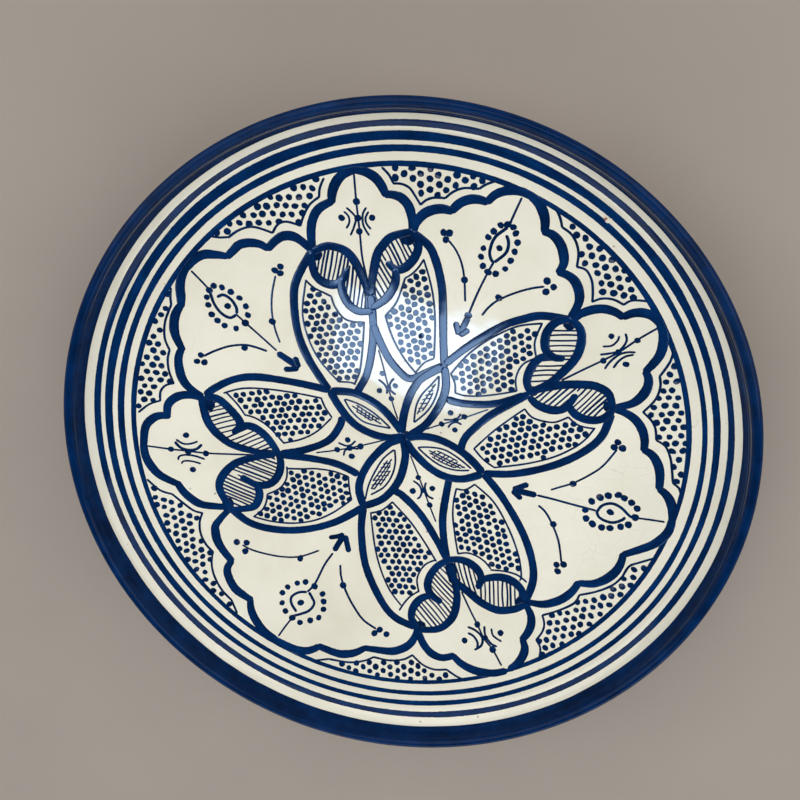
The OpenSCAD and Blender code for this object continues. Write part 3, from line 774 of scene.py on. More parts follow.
large_cartouche_strokes = [
    [(-46, 103.5), (-49.5, 107.2), (-54, 110.2), (-59, 110.4), (-63.5, 107.7), (-67.5, 103.7)],
    [(-67.2, 104), (-71, 106.3), (-76, 107), (-81, 106), (-84.5, 103), (-88, 99.8)],
    [(-88, 100.2), (-93, 101), (-99, 101.2), (-104, 98.6), (-108.5, 94)],
    [(-108, 95), (-111, 90.5), (-112.9, 85), (-113.4, 79), (-114, 74)],
    [(-113.8, 75), (-117, 70.5), (-118.9, 64.5), (-119, 58), (-116.5, 49.5)],
    [(-117, 50.5), (-119, 46), (-119.5, 40), (-118.6, 33.5), (-115.5, 28), (-109.5, 23)],
    [(5.5, 113.5), (7, 118), (11, 122.3), (16, 124.4), (20.5, 124.6), (24.5, 123.6)],
    [(24, 123.6), (27, 126.8), (31, 129), (36, 129.6), (41, 128.3)],
    [(40.8, 128.2), (44, 131.6), (48.5, 133.6), (53, 134), (57, 133.4), (61.5, 131.4)],
    [(60, 132.3), (64, 129), (66.8, 124.5), (68.1, 119.5), (68, 115)],
    [(67.5, 115.2), (72, 113.7), (75.8, 109.5), (77.8, 104), (78, 99.5), (76, 95.2)],
    [(75.8, 95.7), (80.5, 94.3), (84.5, 90.8), (86.7, 85), (86.4, 79.5), (83.5, 73)],
    [(109, 26), (114, 24.7), (119, 21.8), (122.7, 17), (124.6, 11), (124.7, 5.3)],
    [(124.5, 5.8), (128.5, 4), (131.8, -0.5), (133.6, -6.5), (134, -14.5)],
    [(134, -14.3), (137.3, -16.6), (140, -20.5), (141.5, -26), (141.7, -31)],
    [(141.7, -30), (140.6, -36.5), (137, -42.5), (131.5, -47.5), (119.8, -54.5)],
    [(119.8, -54), (118.8, -60), (116, -65.8), (111, -71), (105, -74.3), (98, -75.2)],
    [(98, -74.8), (95.4, -80), (91, -85), (85.5, -88.7), (79, -91), (71, -91)],
    [(9, -114), (7.8, -119.5), (4.5, -124.5), (-1, -127.8), (-7.5, -129.2), (-22, -128.2)],
    [(-21.5, -128.2), (-26.5, -131), (-32.5, -132.3), (-38.5, -131.8), (-49, -128)],
    [(-48.5, -128.3), (-54, -130.7), (-60, -130.7), (-67, -128.3), (-73.5, -124.5)],
    [(-73, -125), (-80.2, -119.6), (-85.2, -113.2), (-88.2, -106.5), (-88.8, -100)],
    [(-88, -100.5), (-92.5, -97.5), (-97.3, -93.3), (-100.6, -87), (-101.6, -81), (-99, -76.3)],
    [(-98.8, -76.8), (-103, -71), (-106.3, -65), (-107.6, -59), (-106.8, -53.5), (-99, -44.5)],
]
for label, node_name, paths, seed in (
        ("small_cartouches_brushed", "small_cartouches", small_cartouche_strokes, 14.0),
        ("large_cartouches_brushed", "large_cartouches", large_cartouche_strokes, 15.0)):
    outline = brushed(label, [(bellied(4.2, path), path) for path in paths], brush_cobalt,
                      overrun=0.9, Seed=seed)
    on_dish(outline, "brush_cobalt", node_name)


# ---------------------------------------------------------------- fine outlines
# A thin line follows the inside of every petal and of the eight spandrels
# between the cartouches and the field ring. It is drawn with a liner brush.

petal_loops = [
    [[(-36, 31), (-45.5, 43), (-51, 56), (-53, 70), (-50, 87)],
     [(-50, 87.5), (-46, 83.5), (-41, 80.8), (-37.5, 79)],
     [(-37.5, 79), (-36, 73.5), (-32, 67.5), (-27, 65.3), (-21, 65)],
     [(-21.2, 65), (-21.8, 57), (-23, 46), (-24.5, 37), (-27.5, 29.7)],
     [(-27, 29.8), (-30, 30.8), (-36, 31)]],
    [[(5.7, 37.5), (0, 45), (-5, 54), (-8, 62), (-9.8, 69)],
     [(-9.8, 69), (-4.5, 75.5), (-1.5, 82.5), (0.8, 89.5)],
     [(0.8, 89.5), (4, 91.5), (7.5, 95), (10.3, 99.3)],
     [(10.3, 99.3), (13, 90), (15, 80), (16, 66), (15.5, 46.5)],
     [(15.3, 46), (11, 44), (8, 40.8), (5.7, 37.5)]],
    [[(24.5, 38), (33, 49), (42, 57), (52, 63.5), (60, 67), (70, 68.7)],
     [(70, 68.5), (68, 63), (67, 57), (68.3, 50.3)],
     [(68.3, 50), (63, 47), (60, 43), (58.5, 37), (59.3, 30.8)],
     [(59.3, 30.8), (50, 28.2), (40, 26.3), (32, 26), (27, 27.3)],
     [(27, 27.5), (26.8, 32.5), (24.5, 38)]],
    [[(38, -4.5), (47, 5.5), (56, 14), (64, 21)],
     [(64, 21), (67.5, 17), (73, 15.2), (80, 15.2), (86.5, 18.8)],
     [(86.5, 18.8), (90.5, 15.5), (95, 14.2), (100, 14)],
     [(100, 14.3), (96, 7.5), (90, 1.5), (80, -5), (66, -10.5), (49.5, -14.5)],
     [(49.5, -14.5), (43.5, -10.5), (38, -4.5)]],
    [[(39, -25.5), (50, -35), (59, -50), (65, -65), (67, -76), (66.3, -79)],
     [(70, -79.5), (65, -76.3), (58, -75), (50, -75.3)],
     [(49.8, -74.5), (46, -70.5), (41, -67.7), (36, -66.8), (31, -67.8)],
     [(31, -67.5), (29, -57), (27.5, -46), (27.6, -37), (29, -29)],
     [(29, -29), (34, -29.2), (39, -25.5)]],
    [[(-7, -39.7), (3, -50.5), (11, -61.5), (18.7, -73.5)],
     [(18, -73), (13, -75.7), (9.5, -80.5), (8, -86), (9.3, -92.7)],
     [(9, -92.5), (4.5, -95.8), (1, -100), (-1.7, -104.5)],
     [(-1, -101.5), (-8, -92.5), (-13.5, -80), (-17, -66), (-19.3, -47.5)],
     [(-19.5, -47), (-13, -45), (-7, -39.7)]],
    [[(-32, -25.5), (-40, -22.5), (-50, -21), (-58, -21.2), (-66.5, -21)],
     [(-66.5, -20), (-67, -27), (-71, -33), (-78, -36.5)],
     [(-78, -36.5), (-78.7, -41), (-81, -45.8), (-86, -50)],
     [(-86, -50), (-76, -53), (-64, -54.2), (-52, -52.5), (-41, -47.5), (-30.3, -39.3)],
     [(-30.3, -39.3), (-31.5, -33), (-32, -25.5)]],
    [[(-46, 21.3), (-60, 24.2), (-75, 26.5), (-88, 27), (-98, 24.5)],
     [(-96.5, 24.5), (-91.5, 18), (-87.7, 11.2)],
     [(-87.7, 11.4), (-82, 9.3), (-75, 3.8), (-67.5, -5.8)],
     [(-67.5, -5.5), (-58, -3.3), (-49, 1.5), (-41, 9.3)],
     [(-40.5, 10), (-44, 16), (-46, 21.5)]],
]
spandrel_loops = [
    [[(-8.5, 143.7), (-5.5, 140.5), (-3.5, 136.5)],
     [(-3.5, 136.3), (0, 136.3), (4, 134.5), (6.5, 131), (9.2, 126.5)],
     [(9.2, 126.5), (12, 128.8), (16, 130), (21, 129.8)],
     [(21, 129.8), (25, 133), (30, 134.7), (37, 134.5)],
     [(37, 134.5), (40, 136.5), (44, 138)]],
    [[(72, 126.5), (74.5, 122.5), (76, 117.5)],
     [(76, 117.5), (80, 114.8), (83, 110.5), (84.5, 105), (84.3, 99)],
     [(84.3, 98.7), (88.5, 97.5), (91.5, 93), (92.7, 87.5), (93, 81.7)],
     [(93, 81.7), (97, 83.6), (102.5, 83.6), (107.5, 81.3)],
     [(107.5, 81.3), (111, 83.8), (118, 84)]],
    [[(132.3, 61), (131.5, 54.5), (127.8, 46.3)],
     [(127.8, 46.3), (128.7, 41.5), (128, 36), (126, 31.5), (122.3, 26.3)],
     [(122.3, 26.3), (126.5, 22.5), (129, 18), (130, 12)],
     [(130, 12), (134.5, 9.5), (137.5, 3.5), (139, -3.5), (140, -9.5)],
     [(140, -10), (143, -12), (144.2, -15)]],
    [[(135.5, -53), (128, -57.3), (123.2, -60.5), (120.5, -66.5)],
     [(120.5, -66.5), (116, -72.5), (108, -78), (98.8, -82)],
     [(98.8, -82), (96.5, -87), (89, -92.5), (79.7, -97.3)],
     [(79.7, -97.3), (81, -102), (80, -107), (77, -112)],
     [(77, -112), (79.5, -116), (79.2, -122)]],
    [[(38, -141), (33, -139.7), (27, -136.5)],
     [(27, -136.5), (20, -137.3), (13, -135.3), (6.7, -130.3)],
     [(6.7, -130.3), (1.5, -133.3), (-7, -134.5), (-16, -133.2)],
     [(-16, -133.2), (-22, -135.8), (-31, -137), (-42.5, -135.5)],
     [(-42.5, -135.5), (-50, -136.5)]],
    [[(-96.3, -108), (-99.5, -100)],
     [(-99.5, -100), (-105, -93.5), (-109, -85), (-110.3, -77), (-109.3, -70.5)],
     [(-109.3, -70.5), (-113, -66), (-115.8, -59), (-116, -52), (-114.3, -46.8)],
     [(-114.3, -46.8), (-119, -45), (-124.5, -40), (-130, -34.3)],
     [(-130, -34.3), (-136, -31.7), (-142.2, -24.8)]],
    [[(-142.7, 15.3), (-137, 19.5), (-131.2, 21.3)],
     [(-131.2, 21.3), (-130.5, 26.5), (-127.5, 30), (-123.3, 31)],
     [(-123.3, 31), (-124.8, 38), (-124.6, 45), (-123, 50)],
     [(-123, 50), (-124.5, 57), (-123, 66), (-118.7, 75)],
     [(-118.7, 75), (-118.5, 79), (-117.5, 84)]],
    [[(-94, 110.5), (-90, 109.8), (-86, 110)],
     [(-86, 109.7), (-80, 113.5), (-73, 115), (-64, 112)],
     [(-64, 112), (-61, 116.2), (-56.5, 117.6), (-50, 115.6)],
     [(-50, 115.6), (-48, 120.5), (-44.5, 126), (-39.5, 129.8)],
     [(-39.5, 129.8), (-38.8, 134), (-36.5, 138.5)]],
]
fine_cobalt = cobalt_finish("fine_cobalt", 0.22, 0.7, 0.55, 0.1)
FINE = {"Step": 0.0006, "Film": 0.00004, "Swell": 0.5, "Swell Size": 120.0, "Fray": 0.00016,
        "Round End": 1.6}
for label, outlines, width, seed in (("petal_fine_lines", petal_loops, 1.1, 21.0),
                                     ("spandrel_fine_lines", spandrel_loops, 1.25, 22.0)):
    fine = brushed(label, [(width, path) for outline in outlines for path in outline],
                   fine_cobalt, overrun=0.5, Seed=seed, **FINE)
    on_dish(fine, "brush_cobalt")


# ---------------------------------------------------------------- dots
# Rows of dots fill the petals and the spandrels, each a single dab with the
# tip of the brush. No two are quite the same size or shape.

def rows_tree():
    """Fills a flat outline with rows of points, staggered and a little uneven."""
    tree, given, result = new_tree("rows of dots", "GeometryNodeTree", [
        ("Outline", GEOMETRY), ("Spacing", FLOAT), ("Row Angle", FLOAT), ("Margin", FLOAT),
        ("Drift", FLOAT), ("Seed", INTEGER), ("Paint", MATERIAL)], [("Points", GEOMETRY)])
    place = add(tree, "GeometryNodeInputPosition").outputs[0]
    outline = given["Outline"]
    box = add(tree, "GeometryNodeBoundBox", [("Geometry", outline)]).outputs
    middle = scaled(tree, vector_sum(tree, "ADD", box["Min"], box["Max"]), 0.5)
    rows = 45                       # enough to cover the largest outline
    side = sum_of(tree, "MULTIPLY", given["Spacing"], rows - 1)
    field = add(tree, "GeometryNodeMeshGrid", [
        ("Size X", side), ("Size Y", sum_of(tree, "MULTIPLY", side, 0.87)),
        ("Vertices X", rows), ("Vertices Y", rows)]).outputs["Mesh"]
    index = add(tree, "GeometryNodeInputIndex").outputs[0]
    row = add(tree, "FunctionNodeIntegerMath", [(0, index), (1, rows)],
              operation="MODULO").outputs[0]
    odd = add(tree, "FunctionNodeIntegerMath", [(0, row), (1, 2)],
              operation="MODULO").outputs[0]
    stagger = sum_of(tree, "MULTIPLY", sum_of(tree, "MULTIPLY", odd, given["Spacing"]), 0.5)
    drift = add(tree, "FunctionNodeRandomValue", [("Seed", given["Seed"])],
                data_type="FLOAT_VECTOR")
    drift.inputs["Min"].default_value = (-1.0, -1.0, 0.0)
    drift.inputs["Max"].default_value = (1.0, 1.0, 0.0)
    spot = vector_sum(tree, "ADD", vector_sum(tree, "ADD", place, point_of(tree, stagger)),
                      scaled(tree, drift.outputs[0], given["Drift"]))
    turned = add(tree, "ShaderNodeVectorRotate", [
        ("Vector", spot), ("Angle", given["Row Angle"])], rotation_type="Z_AXIS").outputs[0]
    field = add(tree, "GeometryNodeSetPosition", [
        ("Geometry", field), ("Position", vector_sum(tree, "ADD", turned, middle))]).outputs[0]
    above = vector_sum(tree, "ADD", place, (0.0, 0.0, 0.01))
    inside = add(tree, "GeometryNodeRaycast", [
        ("Target Geometry", outline), ("Source Position", above),
        ("Ray Direction", (0.0, 0.0, -1.0)), ("Ray Length", 0.1)]).outputs["Is Hit"]
    away = add(tree, "GeometryNodeProximity", [("Geometry", outline)],
               target_element="EDGES").outputs["Distance"]
    clear = add(tree, "FunctionNodeCompare", [("A", away), ("B", given["Margin"])],
                data_type="FLOAT", operation="GREATER_THAN").outputs[0]
    kept = add(tree, "FunctionNodeBooleanMath", [(0, inside), (1, clear)],
               operation="AND").outputs[0]
    left = add(tree, "FunctionNodeBooleanMath", [(0, kept)], operation="NOT").outputs[0]
    field = add(tree, "GeometryNodeDeleteGeometry", [("Geometry", field), ("Selection", left)],
                domain="POINT", mode="ALL").outputs[0]
    field = stored(tree, field, "size", 1.0)
    tree.links.new(painted(tree, field, given["Paint"]), result["Points"])
    return tree


def dab_tree():
    """Turns points into dabs of paint that lie on the dish."""
    tree, given, result = new_tree("dabs of paint", "GeometryNodeTree", [
        ("Points", GEOMETRY), ("Dish", OBJECT), ("Dab Radius", FLOAT), ("Film", FLOAT),
        ("Uneven", FLOAT), ("Seed", INTEGER), ("Paint", MATERIAL)], [("Dabs", GEOMETRY)])
    place = add(tree, "GeometryNodeInputPosition").outputs[0]
    dab = add(tree, "GeometryNodeMeshCone", [
        ("Vertices", 12), ("Side Segments", 1), ("Fill Segments", 1), ("Radius Top", 0.9),
        ("Radius Bottom", 1.0), ("Depth", 1.0)], fill_type="NGON").outputs["Mesh"]
    across, along, rise = parts_of(tree, place)
    dab = stored(tree, dab, "brush", point_of(
        tree, across, sum_of(tree, "MULTIPLY", along, 0.002)), "FLOAT_VECTOR")

    def chance(low, high, offset):
        seed = add(tree, "FunctionNodeIntegerMath", [(0, given["Seed"]), (1, offset)],
                   operation="ADD").outputs[0]
        return add(tree, "FunctionNodeRandomValue", [
            ("Min", low), ("Max", high), ("Seed", seed)], data_type="FLOAT").outputs["Value"]

    size = sum_of(tree, "MULTIPLY", read(tree, "size"), given["Dab Radius"])
    wide = sum_of(tree, "MULTIPLY", size, sum_of(
        tree, "MULTIPLY_ADD", chance(-1.0, 1.0, 0), given["Uneven"], 1.0))
    high = sum_of(tree, "MULTIPLY", size, sum_of(
        tree, "MULTIPLY_ADD", chance(-1.0, 1.0, 1), given["Uneven"], 1.0))
    turn = point_of(tree, z=chance(0.0, math.tau, 2))
    dabs = add(tree, "GeometryNodeInstanceOnPoints", [
        ("Points", given["Points"]), ("Instance", dab), ("Rotation", turn),
        ("Scale", point_of(tree, wide, high, given["Film"]))]).outputs[0]
    dabs = add(tree, "GeometryNodeRealizeInstances", [("Geometry", dabs)]).outputs[0]
    wobble = add(tree, "ShaderNodeTexNoise", [("Vector", place), ("Scale", 800.0)]).outputs[
        "Color"]
    wobble = scaled(tree, vector_sum(tree, "SUBTRACT", wobble, (0.5, 0.5, 0.5)), 0.0009)
    x, y, _ = parts_of(tree, vector_sum(tree, "ADD", place, wobble))
    ground = dish_height(tree, given["Dish"], x, y)
    dabs = add(tree, "GeometryNodeSetPosition", [
        ("Geometry", dabs),
        ("Position", point_of(tree, x, y, sum_of(tree, "ADD", ground, rise)))]).outputs[0]
    tree.links.new(painted(tree, dabs, given["Paint"]), result["Dabs"])
    return tree


def joined(name, pieces):
    """One piece made of several that share a finish."""
    whole = bmesh.new()
    for part in pieces:
        whole.from_mesh(part.data)
        bpy.data.objects.remove(part)
    mesh = bpy.data.meshes.new(name)
    whole.to_mesh(mesh)
    whole.free()
    piece = bpy.data.objects.new(name, mesh)
    bpy.context.scene.collection.objects.link(piece)
    return piece


def outline_of(loop):
    """The corners round a closed outline, from the strokes that draw it."""
    corners = []
    for path in loop:
        corners += [point for point in path if not corners or math.dist(
            point, corners[-1]) > 1.5]
    return corners[:-1] if math.dist(corners[0], corners[-1]) < 1.5 else corners


def dotted(name, regions, radius, spacing, first_seed):
    """Fills (outline, row angle) regions with dabs, as one piece."""
    filled = []
    for number, (corners, angle) in enumerate(regions):
        patch = flat_piece(f"{name}_{number}", [(x, y, 0.0) for x, y in corners],
                           faces=[list(range(len(corners)))])
        rows = {"Spacing": spacing * MM, "Row Angle": math.radians(angle),
                "Margin": 0.55 * radius * MM, "Drift": 0.42 * MM,
                "Seed": first_seed + number, "Paint": fine_cobalt}
        filled.append(grown(patch, (rows_of_dots, rows), (dabs_of_paint, {
            "Dish": glaze_coat, "Dab Radius": radius * MM, "Film": 0.00018,
            "Uneven": 0.14, "Seed": first_seed + number, "Paint": fine_cobalt})))
    piece = joined(name, filled)
    piece.data.materials.append(fine_cobalt)
    return piece


rows_of_dots = rows_tree()
dabs_of_paint = dab_tree()
petal_row_angles = (8, 100, 38, 22, 105, 120, 160, 5)
petal_dots = dotted("petal_dots", [
    (outline_of(loop), angle) for loop, angle in zip(petal_loops, petal_row_angles)],
    1.66, 4.2, 40)
on_dish(petal_dots, "brush_cobalt")


FIELD_R = 145.6                 # the dots stop at the middle of the field ring


def spandrel_area(loop):
    """The ground between a spandrel's fine line and the field ring."""
    corners = outline_of(loop)
    start = math.atan2(corners[0][1], corners[0][0])
    end = math.atan2(corners[-1][1], corners[-1][0])
    sweep = (start - end + math.pi) % math.tau - math.pi
    return corners + [(FIELD_R * math.cos(end + sweep * i / 12),
                       FIELD_R * math.sin(end + sweep * i / 12)) for i in range(13)]


spandrel_dots = dotted("spandrel_dots", [
    (spandrel_area(loop), math.degrees(math.atan2(loop[2][0][1], loop[2][0][0])) + 62)
    for loop in spandrel_loops], 1.68, 4.7, 60)
on_dish(spandrel_dots, "brush_cobalt")


# ---------------------------------------------------------------- hatching
# Parallel liner strokes shade the lobed leaves, and a few crossed ones the
# hearts of the centre leaves.

lobe_grounds = [
    (76, [(-45, 97), (-43, 103), (-36, 105), (-30, 103), (-26, 98), (-28.5, 93.5), (-31, 89),
          (-35, 86), (-40, 87), (-44, 91)]),
    (80, [(-26, 98), (-22, 92), (-19, 83), (-19, 72), (-24, 71.5), (-29, 75), (-31.5, 80),
          (-31, 86), (-28.5, 93.5)]),
    (-66, [(-8, 97.5), (-12, 102), (-7, 108.5), (0, 112), (6, 110), (7, 103.5), (3, 97),
           (-3, 94)]),
    (-62, [(-8, 97.5), (-13, 101), (-15, 93), (-16, 84), (-16, 74), (-10, 78), (-5.5, 84),
           (-4, 90)]),
    (5, [(76, 69), (73.5, 64), (72.5, 58), (75, 52), (86, 51), (88.5, 56), (89, 63), (86, 69)]),
    (7, [(72, 51), (67, 45), (65, 38), (66.5, 32), (74, 36.5), (80, 42), (85, 48.5), (86, 51)]),
    (48, [(68, 28), (74, 23), (80, 22.5), (85, 25), (89.3, 31.5), (90, 37), (82, 36), (72, 33)]),
    (52, [(90, 37), (89.3, 31.5), (87.5, 26), (90, 21.5), (96, 19), (104, 20.5), (107, 26),
          (106, 32), (100, 36.5)]),
    (-72, [(28, -73), (36, -72.5), (42, -76), (44, -82), (43, -87), (44, -93), (37, -88.5),
           (30, -81)]),
    (-86, [(44, -93), (43, -87), (45, -83), (52, -80), (60, -80), (66, -84), (68.5, -91),
           (62, -96), (54, -98), (48, -96)]),
    (-44, [(25, -74), (19, -78), (15.5, -84), (15, -90), (17, -94.5), (22.5, -97.5), (30, -100),
           (31, -92), (29, -83)]),
    (-47, [(22.5, -97.5), (16, -95.5), (10, -98), (6.5, -104), (7, -111), (14, -114.5),
           (22, -112.5), (28, -107), (30, -100)]),
    (-24, [(-73, -14), (-71, -20), (-73.5, -26), (-79, -30), (-86, -29.5), (-92, -25.5),
           (-99, -21.5), (-92, -16.5), (-84, -15)]),
    (-27, [(-99, -21.5), (-92, -25.5), (-85, -30.5), (-83, -36), (-85, -41.5), (-91, -45),
           (-98, -45), (-102, -39), (-103.5, -31), (-102, -25)]),
    (14, [(-107, 22), (-101, 21), (-96, 15.5), (-92, 9.5), (-91, 4.5), (-95, 1), (-101, 0),
          (-106, 6), (-109, 14)]),
    (24, [(-101, -1), (-95, 1), (-90, 4), (-84, 4), (-79, 0), (-74, -7), (-73, -12), (-84, -11),
          (-94, -7)]),
]


def hatched(angle, corners, pitch, chance):
    """Hatching strokes across an outline at one angle, none quite alike."""
    turn = math.radians(angle)
    ahead, sideways = (math.cos(turn), math.sin(turn)), (-math.sin(turn), math.cos(turn))
    depth = [x * sideways[0] + y * sideways[1] for x, y in corners]
    strokes, offset = [], min(depth) + pitch * 0.7
    while offset < max(depth) - pitch * 0.3:
        cuts = []
        for i, low in enumerate(depth):
            high = depth[(i + 1) % len(depth)]
            if (low - offset) * (high - offset) < 0:
                share = (offset - low) / (high - low)
                x = corners[i][0] + share * (corners[(i + 1) % len(corners)][0] - corners[i][0])
                y = corners[i][1] + share * (corners[(i + 1) % len(corners)][1] - corners[i][1])
                cuts.append((x * ahead[0] + y * ahead[1], x, y))
        cuts.sort()
        for near, far in zip(cuts[::2], cuts[1::2]):
            if far[0] - near[0] > 2.0:
                bow = chance.uniform(-0.35, 0.35)
                middle = ((near[1] + far[1]) / 2 + sideways[0] * bow,
                          (near[2] + far[2]) / 2 + sideways[1] * bow)
                ends = [(x + sideways[0] * chance.uniform(-0.25, 0.25),
                         y + sideways[1] * chance.uniform(-0.25, 0.25))
                        for x, y in (near[1:], far[1:])]
                strokes.append((chance.uniform(0.85, 1.2), [ends[0], middle, ends[1]]))
        offset += pitch * chance.uniform(0.88, 1.12)
    return strokes


lobe_pitches = (2.1, 2.1, 2.3, 2.3, 2.7, 2.7, 2.3, 2.3, 2.4, 2.4, 2.4, 2.4, 2.1, 2.1, 2.6, 2.6)
hand = random.Random(5)
lobe_hatching = [stroke for (angle, corners), pitch in zip(lobe_grounds, lobe_pitches)
                 for stroke in hatched(angle, corners, pitch, hand)]
on_dish(brushed("lobe_hatching", lobe_hatching, fine_cobalt, Seed=23.0, **FINE),
        "brush_cobalt")

leaf_hearts = [
    [(6.5, 13), (10, 16), (14.5, 23), (16.5, 32), (14.5, 31), (10, 24), (7, 18)],
    [(-30, 18.5), (-27, 14), (-22, 9.5), (-12, 6.5), (-15, 10.5), (-20, 14), (-25, 17)],
    [(13, -7), (20, -7.5), (28, -11.5), (34, -16.5), (27, -17), (20, -14.5), (14, -10.5)],
    [(-19.5, -34), (-12.5, -29), (-8.5, -23), (-7.5, -13), (-12, -16), (-16, -23), (-19, -30)],
]
heart_strokes = []
for heart, lengthwise, crosswise in zip(leaf_hearts, (62, -33, -24, 58), (10, 80, 38, 8)):
    heart_strokes += [(0.9, path) for width, path in hatched(lengthwise, heart, 1.5, hand)]
    heart_strokes += [(0.8, path) for width, path in hatched(crosswise, heart, 2.3, hand)]
on_dish(brushed("leaf_hatching", heart_strokes, fine_cobalt, Seed=24.0, Layer=0.00001, **FINE),
        "brush_cobalt")


# ---------------------------------------------------------------- motifs
# Free drawing inside the cartouches and between the leaves: an eye with an
# arrow and two sprigs, or a stem crossed by short bows, ended with dabs.

